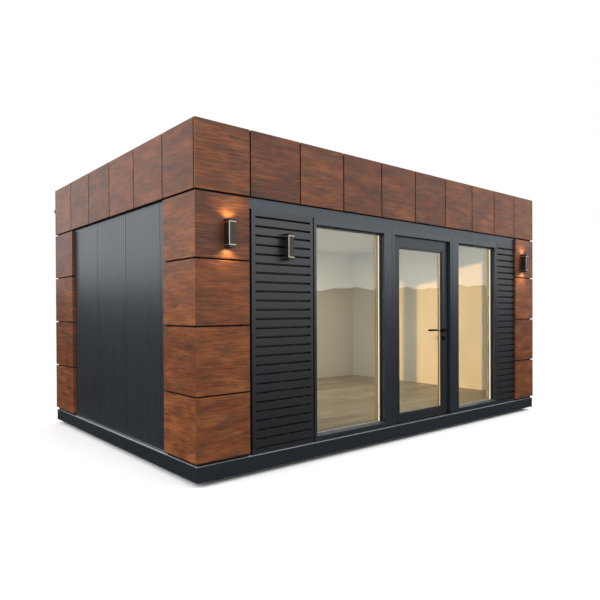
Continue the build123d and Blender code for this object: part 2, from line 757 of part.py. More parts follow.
def hinge_fixed(height):
    """Two outer knuckles with the pin and a web to the frame's reveal."""
    reach = KNUCKLE / 2 + KNUCKLE_GAP
    web_x = (LEFT + DOOR_START, HINGE_X)
    web_y = (HINGE_Y - HINGE_WEB / 2, HINGE_Y + HINGE_WEB / 2)
    pin = rod((HINGE_X, HINGE_Y, height - reach), (HINGE_X, HINGE_Y, height + reach), HINGE_PIN)
    hinge = pin
    for low, high in ((-reach - KNUCKLE, -reach), (reach, reach + KNUCKLE)):
        z = (height + low, height + high)
        hinge += rod((HINGE_X, HINGE_Y, z[0]), (HINGE_X, HINGE_Y, z[1]), KNUCKLE_RADIUS)
        hinge += block(web_x, web_y, z)
    return hinge


def hinge_moving(height):
    """Middle knuckle on a web and a plate that is screwed to the leaf's face."""
    z = (height - KNUCKLE / 2, height + KNUCKLE / 2)
    start, end = (HINGE_X, HINGE_Y, z[0]), (HINGE_X, HINGE_Y, z[1])
    half = HINGE_WEB / 2
    hinge = rod(start, end, KNUCKLE_RADIUS)
    hinge += block((HINGE_X - half, HINGE_X + half), (HINGE_Y, LEAF_FACE), z)
    plate_x = (HINGE_X - half, HINGE_X - half + HINGE_PLATE_WIDTH)
    hinge += block(plate_x, (LEAF_FACE - HINGE_PLATE, LEAF_FACE), z)
    return hinge - rod(start, end, HINGE_PIN + PIN_CLEARANCE)


def door_lever():
    """Outer and inner lever on one spindle through the leaf."""
    x, z = SPINDLE_X, LEVER_HEIGHT
    outer, inner = LEAF_FACE - LEVER_STAND, LEAF_BACK + LEVER_STAND
    lever = rod((x, outer, z), (x, inner, z), SPINDLE)
    lever += rod((x, outer, z), (x, LEAF_FACE - ROSE / 2, z), NECK_RADIUS)
    lever += rod((x, LEAF_BACK + ROSE / 2, z), (x, inner, z), NECK_RADIUS)
    high, thick = LEVER_BAR / 2, LEVER_THICKNESS / 2
    for y in (outer, inner):
        bar_x = (x - LEVER_LENGTH, x + high)
        bar = block(bar_x, (y - thick, y + thick), (z - high, z + high))
        lever += chamfer(bar.edges(), LEVER_EASE)
    return lever


def rose(height, hole):
    """Round roses on both faces of the leaf, with a hole."""
    pieces = []
    for face, out in ((LEAF_FACE, -1), (LEAF_BACK, 1)):
        start, end = (SPINDLE_X, face, height), (SPINDLE_X, face + out * ROSE, height)
        pieces.append(rod(start, end, ROSE_RADIUS) - rod(start, end, hole))
    return pieces


def lock_cylinder():
    """Lock cylinder through both key roses, a little proud of each."""
    stand = ROSE + CYLINDER_STAND
    z = LEVER_HEIGHT - KEY_DROP
    start = (SPINDLE_X, LEAF_FACE - stand, z)
    return rod(start, (SPINDLE_X, LEAF_BACK + stand, z), CYLINDER_RADIUS)


# ----------------------------------------------------------------------- lamps
def lamp_body(centre, wall, height):
    """Square lamp housing, open at both ends as far in as its lenses."""
    half = LAMP_WIDTH / 2 - LAMP_BODY_INSET
    x = (centre - half, centre + half)
    y = (wall - LAMP_DEPTH + LAMP_BODY_INSET, wall)
    low, high = height - LAMP_HEIGHT / 2, height + LAMP_HEIGHT / 2
    body = block(x, y, (low, high))
    deep = LENS_SET + LENS
    return body - [
        lens_block(centre, wall, (low, low + deep)),
        lens_block(centre, wall, (high - deep, high)),
    ]


def lens_block(centre, wall, z):
    """Box inside the walls of a lamp's housing, between two heights."""
    half = LAMP_WIDTH / 2 - LAMP_BODY_INSET - LENS_EDGE
    x = (centre - half, centre + half)
    return block(x, (wall - LAMP_DEPTH + LAMP_BODY_INSET + LENS_EDGE, wall - LENS_EDGE), z)


def lamp_lenses(centre, wall, height):
    """The two lenses of a lamp, at the inner ends of its recesses."""
    low = height - LAMP_HEIGHT / 2 + LENS_SET
    high = height + LAMP_HEIGHT / 2 - LENS_SET
    return [
        lens_block(centre, wall, (low, low + LENS)),
        lens_block(centre, wall, (high - LENS, high)),
    ]


def lamp_trim(centre, wall, height):
    """Polished bands near both ends, joined by a strip on one front edge."""
    half = LAMP_WIDTH / 2
    inner = half - LAMP_BODY_INSET
    front = wall - LAMP_DEPTH
    low = height - LAMP_HEIGHT / 2 + TRIM_FROM_END
    high = height + LAMP_HEIGHT / 2 - TRIM_FROM_END
    outer_x = (centre - half, centre + half)
    trim = block(outer_x, (front, wall), (low, low + TRIM))
    trim += block(outer_x, (front, wall), (high - TRIM, high))
    trim += block((centre - half, centre - half + TRIM), (front, front + TRIM), (low, high))
    body_x = (centre - inner, centre + inner)
    return trim - block(body_x, (front + LAMP_BODY_INSET, wall), (low, high))


# --------------------------------------------------------------------- writing
COLUMNS = [
    (corner(1, 1), COLUMN_FRONT_LEFT, COLUMN_SIDE_FRONT, CORE_INSET, JOINTS_NEAR),
    (corner(-1, 1), COLUMN_FRONT_RIGHT, COLUMN_SIDE_FRONT, CORE_INSET, JOINTS_FAR),
    (corner(1, -1), COLUMN_FRONT_LEFT, COLUMN_SIDE_BACK, WALL_INSET, JOINTS_BACK),
    (corner(-1, -1), COLUMN_FRONT_RIGHT, COLUMN_SIDE_BACK, WALL_INSET, JOINTS_BACK),
]
COLUMN_NAMES = ["front_left", "front_right", "back_left", "back_right"]
LAMPS = [
    (LEFT + LAMP_FROM_END, FRONT, LAMP_CENTRE),
    (LEFT + LAMP_ON_LOUVRE, FRAME_FACE, LAMP_LOW_CENTRE),
    (RIGHT - LAMP_FROM_END, FRONT, LAMP_CENTRE),
]


def write_base():
    save("levelling_feet", levelling_feet())
    save("base_frame", base_frame())
    save("base_skirt", base_skirt())
    save("base_flashing", base_flashing())
    save("floor_deck", floor_deck())
    save("floor_finish", floor_finish())


def write_walls():
    full = (PLINTH_TOP, WALL_TOP)
    save("left_wall", side_wall(LEFT, 1))
    save("right_wall", side_wall(RIGHT, -1))
    save("back_wall", back_wall())
    save("front_wall_left", front_wall(ROOM_INSET, WINDOW_LEFT_START, full))
    save("front_wall_right", front_wall(WINDOW_RIGHT_END, LENGTH - ROOM_INSET, full))
    save("front_wall_head", front_wall(WINDOW_LEFT_START, WINDOW_RIGHT_END, (FRAME_TOP, WALL_TOP)))
    save("header_cladding", header_cladding())
    save("cover_posts", post(POST_LEFT_START, True), post(POST_RIGHT_START, False))


def write_roof():
    save("ceiling_panel", ceiling_panel())
    save("roof_deck", roof_deck())
    save("roof_covering", roof_covering())
    save("parapet_kerb", parapet_kerb())
    save("parapet_frame", parapet_frame())
    save("parapet_coping", parapet_coping())
    save("rain_spout", rain_spout())


def write_cladding():
    save("fascia_front", fascia_long((FRONT, FRONT + BOARD)))
    save("fascia_back", fascia_back())
    save("fascia_left", fascia_end((LEFT, LEFT + BOARD)))
    save("fascia_right", fascia_end((RIGHT - BOARD, RIGHT)))
    save("cladding_battens", cladding_battens())
    for name, column in zip(COLUMN_NAMES, COLUMNS):
        save(f"column_core_{name}", column_core(*column))
        save(f"column_boards_{name}", column_boards(*column))


def write_openings():
    left = (LOUVRE_LEFT_START, LOUVRE_LEFT_END, LOUVRE_LEFT_STILE, LOUVRE_RIGHT_STILE)
    right = (WINDOW_RIGHT_END + SEAM, COLUMN_RIGHT_START, LOUVRE_THIN_STILE, 0)
    save("louvre_left", louvre(*left))
    save("louvre_right", louvre(*right))
    openings = [
        ("left", WINDOW_LEFT_START, WINDOW_LEFT_OPENING),
        ("right", WINDOW_RIGHT_START, WINDOW_RIGHT_OPENING),
    ]
    sills = []
    panes = []
    for name, start, opening in openings:
        frame, pane = window(start, opening)
        save(f"window_frame_{name}", frame)
        panes.append(pane)
        sills.append(window_sill(start, opening))
    save("window_glass", panes)
    save("window_sills", sills)


def write_door():
    leaf, pane = door_leaf()
    save("door_frame", door_frame())
    save("door_threshold", door_threshold())
    save("door_leaf", leaf)
    save("door_glass", pane)
    save("hinges_fixed", [hinge_fixed(height) for height in HINGE_HEIGHTS])
    save("hinges_moving", [hinge_moving(height) for height in HINGE_HEIGHTS])
    save("door_lever", door_lever())
    lever_roses = rose(LEVER_HEIGHT, NECK_RADIUS + SPINDLE_CLEARANCE)
    key_roses = rose(LEVER_HEIGHT - KEY_DROP, CYLINDER_RADIUS + SPINDLE_CLEARANCE)
    save("lock_roses", lever_roses, key_roses)
    save("lock_cylinder", lock_cylinder())


def write_lamps():
    save("lamp_bodies", [lamp_body(*lamp) for lamp in LAMPS])
    save("lamp_trims", [lamp_trim(*lamp) for lamp in LAMPS])
    save("lamp_lenses", [lens for lamp in LAMPS for lens in lamp_lenses(*lamp)])


os.makedirs("parts", exist_ok=True)
write_base()
write_walls()
write_roof()
write_cladding()
write_openings()
write_door()
write_lamps()
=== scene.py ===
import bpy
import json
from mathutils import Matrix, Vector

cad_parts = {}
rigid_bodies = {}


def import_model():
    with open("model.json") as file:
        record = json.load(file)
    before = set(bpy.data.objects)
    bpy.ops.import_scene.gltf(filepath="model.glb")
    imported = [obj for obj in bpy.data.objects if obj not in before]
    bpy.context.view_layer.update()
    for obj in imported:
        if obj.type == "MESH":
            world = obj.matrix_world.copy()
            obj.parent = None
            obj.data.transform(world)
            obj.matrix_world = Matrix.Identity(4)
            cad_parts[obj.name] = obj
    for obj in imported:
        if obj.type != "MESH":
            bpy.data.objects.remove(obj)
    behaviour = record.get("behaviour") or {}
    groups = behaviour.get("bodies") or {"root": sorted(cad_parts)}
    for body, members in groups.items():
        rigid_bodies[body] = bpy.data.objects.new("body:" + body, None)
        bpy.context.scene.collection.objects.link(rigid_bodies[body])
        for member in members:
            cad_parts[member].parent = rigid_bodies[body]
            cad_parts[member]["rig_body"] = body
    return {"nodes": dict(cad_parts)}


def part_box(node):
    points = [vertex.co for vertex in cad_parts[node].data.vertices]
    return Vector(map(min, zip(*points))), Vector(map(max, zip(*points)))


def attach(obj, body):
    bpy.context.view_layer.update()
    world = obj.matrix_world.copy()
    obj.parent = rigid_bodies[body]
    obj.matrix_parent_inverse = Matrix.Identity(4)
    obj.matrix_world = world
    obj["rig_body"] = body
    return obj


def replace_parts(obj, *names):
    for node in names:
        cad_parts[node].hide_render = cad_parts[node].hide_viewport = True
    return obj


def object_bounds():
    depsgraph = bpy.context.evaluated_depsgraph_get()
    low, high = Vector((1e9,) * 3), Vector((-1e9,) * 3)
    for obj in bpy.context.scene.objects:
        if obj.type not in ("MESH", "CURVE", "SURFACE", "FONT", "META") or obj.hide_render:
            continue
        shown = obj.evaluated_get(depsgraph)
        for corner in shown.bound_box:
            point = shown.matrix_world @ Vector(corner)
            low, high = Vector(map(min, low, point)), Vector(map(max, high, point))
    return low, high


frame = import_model()
CAD_BOX = [list(corner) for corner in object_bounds()]

import json
import math

import bmesh
import bpy
import numpy as np
from mathutils import Matrix, Vector

bl_info = {
    "name": "Garden Office Pod",
    "version": (1, 0, 0),
    "blender": (4, 5, 0),
    "location": "View3D > Sidebar > Pod",
    "description": "Finishes and fine parts of a board-clad garden office pod",
    "category": "Object",
}

MM = 0.001
WELD = 0.01 * MM            # points nearer than this are one point
LOW = Vector(CAD_BOX[0])
ROOM_LOW, ROOM_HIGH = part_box("floor_finish")
MIDDLE = (ROOM_LOW + ROOM_HIGH) / 2
BEAD_DEPTH = 12 * MM
TRIM = 4 * MM               # thickness of the reveal trims
RUBBER_SEAT, RUBBER_STEP = 3 * MM, MM       # rubber under its bead, a third of its rise
SKIN_FRONT, SKIN_BACK = 0.2 * MM, 0.1 * MM  # a facing's faces off its wall
SKIN_END = 0.5 * MM         # a facing's ends off the column boards
BOARD_SEED = 5              # the first seed of the boards' random figure

# camera: place in metres, turns in radians, lens and sensor in millimetres
EYE = (-4.8756, -5.7532, 1.4119)
YAW, PITCH, ROLL = 0.70097, -0.006146, -0.004378
LENS, SENSOR, SHIFT = 33.339, 36.0, 0.02335

# stage: what the open floor shows and what it lights by, so that it goes white
# and only the shadow under the plinth stays
FLOOR_REACH = 120.0
FLOOR_SHOWN, FLOOR_LIT = 1.64, 0.72
# soft lights outside: name, place, aimed at, side in metres, watts
STUDIO = (
    ("key_light", (7.5, -9.5, 7.0), (0, 0, 1.2), 2.6, 420.0),
    ("end_fill", (-10.0, -2.0, 5.0), (LOW.x, 0, 1.2), 5.0, 300.0),
)
SUN_WAY, SUN_WIDTH = (1, 0.69, -0.1), math.radians(1.5)
# land: radii of its rows, its rim's height, and each sine's height, waves and phase
LAND_RADII = (0.01, 6, 16, 40, 41)
RIM_HEIGHT = 3.3
RIM_WAVES = (
    (0.20, 3, 1), (0.12, 7, 0), (0.08, 23, 2), (0.06, 59, 0),
    (0.07, 131, 1), (0.03, 307, 0), (0.015, 617, 2),
)
RIM_STEPS = 2880

# lamp beams: colour, spread and edge, size, and place from the lens
BEAM_COLOUR = "#FFE79E"
BEAM_SPREAD, BEAM_EDGE, BEAM_SIZE = math.radians(150), 0.8, 6 * MM
BEAM_OUT, BEAM_CLEAR = 46 * MM, 12 * MM


def linear(code):
    """Turn an sRGB hex colour into linear red, green, blue and alpha."""
    parts = [int(code[index:index + 2], 16) / 255 for index in (1, 3, 5)]
    return [p / 12.92 if p <= 0.04045 else ((p + 0.055) / 1.055) ** 2.4 for p in parts] + [1.0]


# ------------------------------------------------------------------- settings
class PodSizes(bpy.types.PropertyGroup):
    """Sizes that a user may change."""

    arris: bpy.props.FloatProperty(
        name="Board arris", description="Width of the eased edge of a cladding board",
        default=1.5 * MM, min=0.2 * MM, max=4 * MM, unit="LENGTH")
    pane: bpy.props.FloatProperty(
        name="Pane", description="Thickness of each pane of a sealed unit",
        default=4 * MM, min=3 * MM, max=8 * MM, unit="LENGTH")
    gasket: bpy.props.FloatProperty(
        name="Gasket", description="Width of the rubber line round the glass",
        default=2 * MM, min=1 * MM, max=8 * MM, unit="LENGTH")
    spacer: bpy.props.FloatProperty(
        name="Spacer", description="Width of the spacer bar seen through a sealed unit",
        default=15.5 * MM, min=6 * MM, max=24 * MM, unit="LENGTH")
    bead: bpy.props.FloatProperty(
        name="Bead", description="Sight width of a glazing bead",
        default=15 * MM, min=8 * MM, max=25 * MM, unit="LENGTH")
    wall_rib: bpy.props.FloatProperty(
        name="Wall rib", description="Pitch of the fine ribs of the wall panels",
        default=50 * MM, min=20 * MM, max=120 * MM, unit="LENGTH")
    header_rib: bpy.props.FloatProperty(
        name="Header rib", description="Pitch of the ribs over the windows",
        default=32 * MM, min=15 * MM, max=120 * MM, unit="LENGTH")
    rib_depth: bpy.props.FloatProperty(
        name="Rib depth", description="Depth of the pressed ribs",
        default=1.2 * MM, min=0.2 * MM, max=5 * MM, unit="LENGTH")
    room_light: bpy.props.FloatProperty(
        name="Room light", description="Power of the even light in the room",
        default=80.0, min=0.0, unit="POWER")
    lamp_light: bpy.props.FloatProperty(
        name="Lamp light", description="Power of one end of a wall lamp",
        default=3.4, min=0.0, unit="POWER")
    evening_sun: bpy.props.FloatProperty(
        name="Evening sun", description="Strength of the low sun that falls into the room",
        default=7.6, min=0.0)
    sky: bpy.props.FloatProperty(
        name="Sky", description="Strength of the soft light from all round",
        default=0.62, min=0.0, subtype="FACTOR")


class PodColours(bpy.types.PropertyGroup):
    """Colours that a user may change."""

    wood_deep: bpy.props.FloatVectorProperty(
        name="Wood, deep", description="Dark figure of the board decor",
        subtype="COLOR", size=4, default=linear("#472A1C"))
    wood_red: bpy.props.FloatVectorProperty(
        name="Wood, red", description="Middle tone of the board decor",
        subtype="COLOR", size=4, default=linear("#854C2B"))
    wood_light: bpy.props.FloatVectorProperty(
        name="Wood, light", description="Light figure of the board decor",
        subtype="COLOR", size=4, default=linear("#B06A38"))
    steel: bpy.props.FloatVectorProperty(
        name="Coated steel", description="Polyester coat of panels, frames and louvres",
        subtype="COLOR", size=4, default=linear("#292D33"))
    lining: bpy.props.FloatVectorProperty(
        name="Lining", description="Inner skin of the panels",
        subtype="COLOR", size=4, default=linear("#DCD6CA"))
    glow: bpy.props.FloatVectorProperty(
        name="Lamp glow", description="Colour of the wall lamps",
        subtype="COLOR", size=4, default=linear("#FFE3A0"))


# -------------------------------------------------------------------- helpers
def add_node(tree, kind, sockets=None, stops=(), **settings):
    """Add a shader node, set it, set or link its sockets and give its outputs."""
    node = tree.nodes.new("ShaderNode" + kind)
    for key, value in settings.items():
        setattr(node, key, value)
    if stops:
        ramp = node.color_ramp.elements
        while len(ramp) < len(stops):
            ramp.new(0.5)
        for element, (position, colour) in zip(ramp, stops):
            element.position = position
            element.color = colour
    for key, value in (sockets or {}).items():
        if isinstance(value, bpy.types.NodeSocket):
            tree.links.new(value, node.inputs[key])
        else:
            node.inputs[key].default_value = value
    return node.outputs


def start_material(name):
    """Return an empty material, its tree and its Object coordinates in metres."""
    material = bpy.data.materials.new(name)
    material.use_nodes = True
    tree = material.node_tree
    tree.nodes.clear()
    place = add_node(tree, "TexCoord")["Object"]
    return material, tree, place


def close_material(material, tree, shader):
    """Link a shader to the material's surface and return the material."""
    add_node(tree, "OutputMaterial", {"Surface": shader})
    return material


def put_in_scene(name, data):
    """Make an object of a mesh, light or camera."""
    made = bpy.data.objects.new(name, data)
    bpy.context.scene.collection.objects.link(made)
    return made


def mesh_object(name, points, faces, material):
    """Make an object from arrays of points and faces."""
    mesh = bpy.data.meshes.new(name)
    mesh.from_pydata(np.asarray(points).tolist(), [], [list(face) for face in faces])
    mesh.update()
    mesh.materials.append(material)
    return put_in_scene(name, mesh)


def mesh_piece(name, shape, material, body):
    """Make a clean piece from a pair of points and faces; it rides on a body."""
    piece = mesh_object(name, *shape, material)
    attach(piece, body)
    return clean(piece)


def boxes(lows, highs):
    """Points and faces of boxes, one per row of lowest and highest corners.

    Each corner is low + (high - low) * bit, the bits running over 0 and 1.
    """
    lows, highs = np.atleast_2d(lows).astype(float), np.atleast_2d(highs).astype(float)
    bits = np.array([(i & 1, i >> 1 & 1, i >> 2 & 1) for i in range(8)], float)
    points = (lows[:, None] + (highs - lows)[:, None] * bits[None]).reshape(-1, 3)
    quads = np.array([
        (0, 2, 3, 1), (4, 5, 7, 6), (0, 1, 5, 4), (2, 6, 7, 3), (0, 4, 6, 2), (1, 3, 7, 5)])
    return points, (quads[None] + 8 * np.arange(len(lows))[:, None, None]).reshape(-1, 4)


def band_faces(rows, count, size):
    """Quads that join each of the first rows of points to the next.

    Rows have size points each and close on themselves; row count is row 0.
    """
    row, spot = np.arange(rows)[:, None], np.arange(size)[None]
    after, beside = (row + 1) % count, (spot + 1) % size
    quads = (row * size + spot, row * size + beside, after * size + beside, after * size + spot)
    return np.stack(quads, -1).reshape(-1, 4).tolist()


def carried(profile, frames, closed):
    """Carry a closed profile along a path of frames.

    A point of the profile (a, b) at a frame (origin, A, B) lies at
    origin + a * A + b * B.  Each ring is joined to the next by quads, and the
    last to the first where the path is closed; else both ends get a face.
    """
    profile = np.asarray(profile, float)
    origin, first, second = (np.asarray([f[i] for f in frames], float) for i in range(3))
    rings = origin[:, None] + profile[None, :, :1] * first[:, None]
    rings = rings + profile[None, :, 1:] * second[:, None]
    count, size = rings.shape[:2]
    faces = band_faces(count if closed else count - 1, count, size)
    if not closed:
        faces.append(list(range(size - 1, -1, -1)))
        faces.append(list(range((count - 1) * size, count * size)))
    return rings.reshape(-1, 3), faces


def join(parts):
    """Join several (points, faces) pairs into one."""
    points, faces, start = [], [], 0
    for part_points, part_faces in parts:
        points.append(np.asarray(part_points))
        faces += [[start + int(index) for index in face] for face in part_faces]
        start += len(part_points)
    return np.concatenate(points), faces


def inset(low, high, by):
    """Spans along X and Z of a box seen from the front, drawn in on each side."""
    return (low[0] + by, high[0] - by), (low[2] + by, high[2] - by)


def upright_loop(profile, x, z, y):
    """Carry a profile round an upright rectangle with mitred corners.

    Profile points are (outward from the rectangle's edge, along Y from y).
    """
    corners = [(x[0], z[0], -1, -1), (x[1], z[0], 1, -1), (x[1], z[1], 1, 1), (x[0], z[1], -1, 1)]
    frames = [((cx, y, cz), (sx, 0, sz), (0, 1, 0)) for cx, cz, sx, sz in corners]
    return carried(profile, frames, True)


def ribbed(low, high, pitch, depth):
    """Outline of a sheet with V grooves: (distance, height) pairs.

    Each pitch holds a flat land, then a groove a fifth of the pitch wide.
    """
    count = max(1, round((high - low) / pitch))
    step = (high - low) / count
    start = low + step * np.arange(count)[:, None]
    places = start + step * np.array([0.0, 0.8, 0.9])[None]
    heights = np.broadcast_to(depth * np.array([1.0, 1.0, 0.0])[None], places.shape)
    return list(zip(places.ravel().tolist(), heights.ravel().tolist())) + [(high, depth)]


def risen(points, top):
    """Raise a closed level outline to a height, with both ends closed."""
    base = np.array(points, float)
    frames = [((0, 0, base[0, 2]), (1, 0, 0), (0, 1, 0)), ((0, 0, top), (1, 0, 0), (0, 1, 0))]
    return carried(base[:, :2], frames, False)


def clean(piece):
    """Merge doubles, drop flat faces and point faces outwards."""
    shell = bmesh.new()
    shell.from_mesh(piece.data)
    bmesh.ops.remove_doubles(shell, verts=shell.verts, dist=WELD)
    bmesh.ops.dissolve_degenerate(shell, edges=shell.edges, dist=WELD)
    bmesh.ops.recalc_face_normals(shell, faces=shell.faces)
    shell.to_mesh(piece.data)
    shell.free()
    return piece


def copied(node, name, material):
    """Return a welded copy of a CAD node that replaces it.

    Flat fans of triangles become single faces again, so that an arris can run
    round them.
    """
    source = frame["nodes"][node]
    piece = put_in_scene(name, source.data.copy())
    piece.data.materials.clear()
    piece.data.materials.append(material)
    shell = bmesh.new()
    shell.from_mesh(piece.data)
    bmesh.ops.remove_doubles(shell, verts=shell.verts, dist=WELD)
    bmesh.ops.dissolve_limit(
        shell, angle_limit=math.radians(1), verts=shell.verts, edges=shell.edges)
    bmesh.ops.recalc_face_normals(shell, faces=shell.faces)
    shell.to_mesh(piece.data)
    shell.free()
    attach(piece, source["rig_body"])
    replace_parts(piece, node)
    return piece


def edge_ends(mesh):
    """Numbers of the two vertices of each edge."""
    ends = np.empty(len(mesh.edges) * 2, np.int64)
    mesh.edges.foreach_get("vertices", ends)
    return ends.reshape(-1, 2)


def joined_up(ends, count):
    """Label each of count points by the lowest one that it is joined to.

    Labels start as the points' own numbers; each pass gives both ends of every
    edge the lower label, until nothing changes.
    """
    labels = np.arange(count)
    while True:
        lowest = labels.copy()
        np.minimum.at(lowest, ends[:, 0], labels[ends[:, 1]])
        np.minimum.at(lowest, ends[:, 1], labels[ends[:, 0]])
        if np.array_equal(lowest, labels):
            return labels
        labels = lowest


def parts_of(node):
    """Lowest and highest corners of each connected part of a CAD node.

    The node's loose triangles are joined where their corners round to the same
    grid point, and each part's corners are the least and greatest of its own.
    """
    mesh = frame["nodes"][node].data
    points = np.empty(len(mesh.vertices) * 3)
    mesh.vertices.foreach_get("co", points)
    points = points.reshape(-1, 3)
    grid = (points / WELD).round().astype(np.int64)
    shared = np.unique(grid, axis=0, return_inverse=True)[1].ravel()
    own = joined_up(shared[edge_ends(mesh)], shared.max() + 1)[shared]
    return [(points[own == label].min(0), points[own == label].max(0)) for label in np.unique(own)]


def number_boards(piece, seed):
    """Give each connected board of a mesh its own random number, as "board"."""
    labels = joined_up(edge_ends(piece.data), len(piece.data.vertices))
    labels = np.unique(labels, return_inverse=True)[1]
    draws = np.random.default_rng(seed).random(labels.max() + 1)
    attribute = piece.data.attributes.new("board", "FLOAT", "POINT")
    attribute.data.foreach_set("value", draws[labels].astype(np.float32))


def bevel(piece, width):
    """Ease the sharp edges of a piece by a bevel."""
    modifier = piece.modifiers.new("Arris", "BEVEL")
    modifier.width = width
    modifier.segments = 2
    modifier.limit_method = "ANGLE"
    modifier.angle_limit = math.radians(40)
    modifier.harden_normals = True


def finish(material, *names):
    """Give CAD nodes their material."""
    for name in names:
        data = frame["nodes"][name].data
        data.materials.clear()
        data.materials.append(material)


def room_mask(tree, place):
    """1 in the room's plan and 4 mm round it, 0 outside that."""
    parts = add_node(tree, "SeparateXYZ", {0: place})
    half = (ROOM_HIGH - ROOM_LOW) / 2
    y = add_node(tree, "Math", {0: parts["Y"], 1: MIDDLE.y}, operation="SUBTRACT")[0]
    inside = []
    for off, reach in ((parts["X"], half.x), (y, half.y)):
        off = add_node(tree, "Math", {0: off}, operation="ABSOLUTE")[0]
        inside.append(add_node(tree, "Math", {0: off, 1: reach + 4 * MM}, operation="LESS_THAN")[0])
    return add_node(tree, "Math", {0: inside[0], 1: inside[1]}, operation="MULTIPLY")[0]


def behind_glass(tree, place):
    """1 behind the inner beads of the windows, 0 in front of them."""
    parts = add_node(tree, "SeparateXYZ", {0: place})
    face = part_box("window_glass")[1].y + BEAD_DEPTH
    return add_node(tree, "Math", {0: parts["Y"], 1: face}, operation="GREATER_THAN")[0]


# ------------------------------------------------------------------ materials
def board_laminate(colours):
    """High-pressure laminate boards with a printed walnut decor, satin pressed.

    The print gives broad tawny and dark clouds along the board, fine streaks
    and short dark pores, with faint red and olive casts; the pressed skin gives
    a soft sheen.
    """
    material, tree, place = start_material("walnut_laminate_satin")
    parts = add_node(tree, "SeparateXYZ", {0: place})
    run = add_node(tree, "Math", {0: parts["X"], 1: parts["Y"]}, operation="ADD")[0]
    board = add_node(tree, "Attribute", {}, attribute_name="board")["Fac"]
    shift = add_node(tree, "Math", {0: board, 1: 40.0}, operation="MULTIPLY")[0]
    line = add_node(tree, "CombineXYZ", {"X": run, "Y": shift, "Z": parts["Z"]})[0]
    # the figure runs in shallow waves 500 mm long, which lift it by up to 20 mm
    wave = add_node(tree, "Mapping", {"Vector": line, "Scale": (2.0, 1.0, 4.0)})[0]
    sway = add_node(tree, "TexNoise", {"Vector": wave, "Scale": 1.0, "Detail": 2.0})[0]
    lift = add_node(tree, "Math", {0: sway, 1: 0.02, 2: parts["Z"]}, operation="MULTIPLY_ADD")[0]
    grain = add_node(tree, "CombineXYZ", {"X": run, "Y": shift, "Z": lift})[0]
    # clouds 330 mm long and 100 mm high
    cloud_place = add_node(tree, "Mapping", {"Vector": grain, "Scale": (3.0, 1.0, 10.0)})[0]
    cloud = add_node(tree, "TexNoise", {
        "Vector": cloud_place, "Scale": 1.0, "Detail": 4.0, "Roughness": 0.62})[0]
    # streaks 300 mm long and 8 mm high
    streak_place = add_node(tree, "Mapping", {"Vector": grain, "Scale": (3.3, 1.0, 125.0)})[0]
    streak = add_node(tree, "TexNoise", {
        "Vector": streak_place, "Scale": 1.0, "Detail": 4.0, "Roughness": 0.7})[0]
    # pores 140 mm long and 7 mm high, drawn coarser than the real 1 mm so that they show
    pore_place = add_node(tree, "Mapping", {"Vector": grain, "Scale": (7.0, 1.0, 150.0)})[0]
    pore = add_node(tree, "TexNoise", {
        "Vector": pore_place, "Scale": 1.0, "Detail": 2.0, "Roughness": 0.6})[0]
    # casts of colour 200 mm long and 80 mm high
    cast_place = add_node(tree, "Mapping", {
        "Vector": grain, "Scale": (5.0, 1.0, 12.0), "Location": (7.0, 0, 3.0)})[0]
    cast = add_node(tree, "TexNoise", {"Vector": cast_place, "Scale": 1.0, "Detail": 3.0})[0]
    tone = add_node(tree, "Math", {0: cloud, 1: 0.52, 2: -0.055}, operation="MULTIPLY_ADD")[0]
    tone = add_node(tree, "Math", {0: streak, 1: 0.60, 2: tone}, operation="MULTIPLY_ADD")[0]
    lean = add_node(tree, "Math", {0: board, 1: 0.08, 2: -0.04}, operation="MULTIPLY_ADD")[0]
    tone = add_node(tree, "Math", {0: tone, 1: lean}, operation="ADD")[0]
    # painted light: the figure is lightened towards the ground and darkened at the fascia, to even
    # out how the light falls on the boards
    pale = add_node(tree, "MapRange", {
        "Value": parts["Z"], "From Min": 2.5, "From Max": 1.4, "To Min": -0.015, "To Max": 0.03})[0]
    tone = add_node(tree, "Math", {0: tone, 1: pale}, operation="ADD")[0]
    figure = add_node(tree, "ValToRGB", {"Fac": tone}, stops=[
        (0.32, colours.wood_deep), (0.44, linear("#6B3D26")), (0.54, colours.wood_red),
        (0.70, colours.wood_light)])[0]
    olive = add_node(tree, "MapRange", {
        "Value": cast, "From Min": 0.52, "From Max": 0.68, "To Max": 0.45})[0]
    figure = add_node(tree, "Mix", {0: olive, 6: figure, 7: linear("#5A4636")}, data_type="RGBA")[2]
    ruddy = add_node(tree, "MapRange", {
        "Value": cast, "From Min": 0.46, "From Max": 0.32, "To Max": 0.35})[0]
    figure = add_node(tree, "Mix", {0: ruddy, 6: figure, 7: linear("#92482E")}, data_type="RGBA")[2]
    dark = add_node(tree, "MapRange", {
        "Value": pore, "From Min": 0.44, "From Max": 0.32, "To Max": 0.8})[0]
    colour = add_node(tree, "Mix", {0: dark, 6: figure, 7: linear("#33221A")}, data_type="RGBA")[2]
    rough = add_node(tree, "MapRange", {
        "Value": streak, "From Min": 0.3, "From Max": 0.7, "To Min": 0.30, "To Max": 0.42})[0]
    relief = add_node(tree, "Bump", {"Strength": 0.25, "Distance": 0.6 * MM, "Height": streak})[0]
    shader = add_node(tree, "BsdfPrincipled", {
        "Base Color": colour, "Roughness": rough, "IOR": 1.5, "Normal": relief})[0]
    return close_material(material, tree, shader)


def looked_at(tree):
    """1 for rays from the eye, from a mirror or through glass, 0 for light."""
    path = add_node(tree, "LightPath")
    seen = path["Is Camera Ray"]
    for kind in ("Is Glossy Ray", "Is Transmission Ray"):
        seen = add_node(tree, "Math", {0: seen, 1: path[kind]}, operation="MAXIMUM")[0]
    return seen


def upward(tree):
    """1 on faces that look up, 0 on upright and downward ones."""
    normal = add_node(tree, "NewGeometry")["Normal"]
    rise = add_node(tree, "SeparateXYZ", {0: normal})["Z"]
    return add_node(tree, "MapRange", {"Value": rise, "From Min": 0.25, "From Max": 0.95})[0]


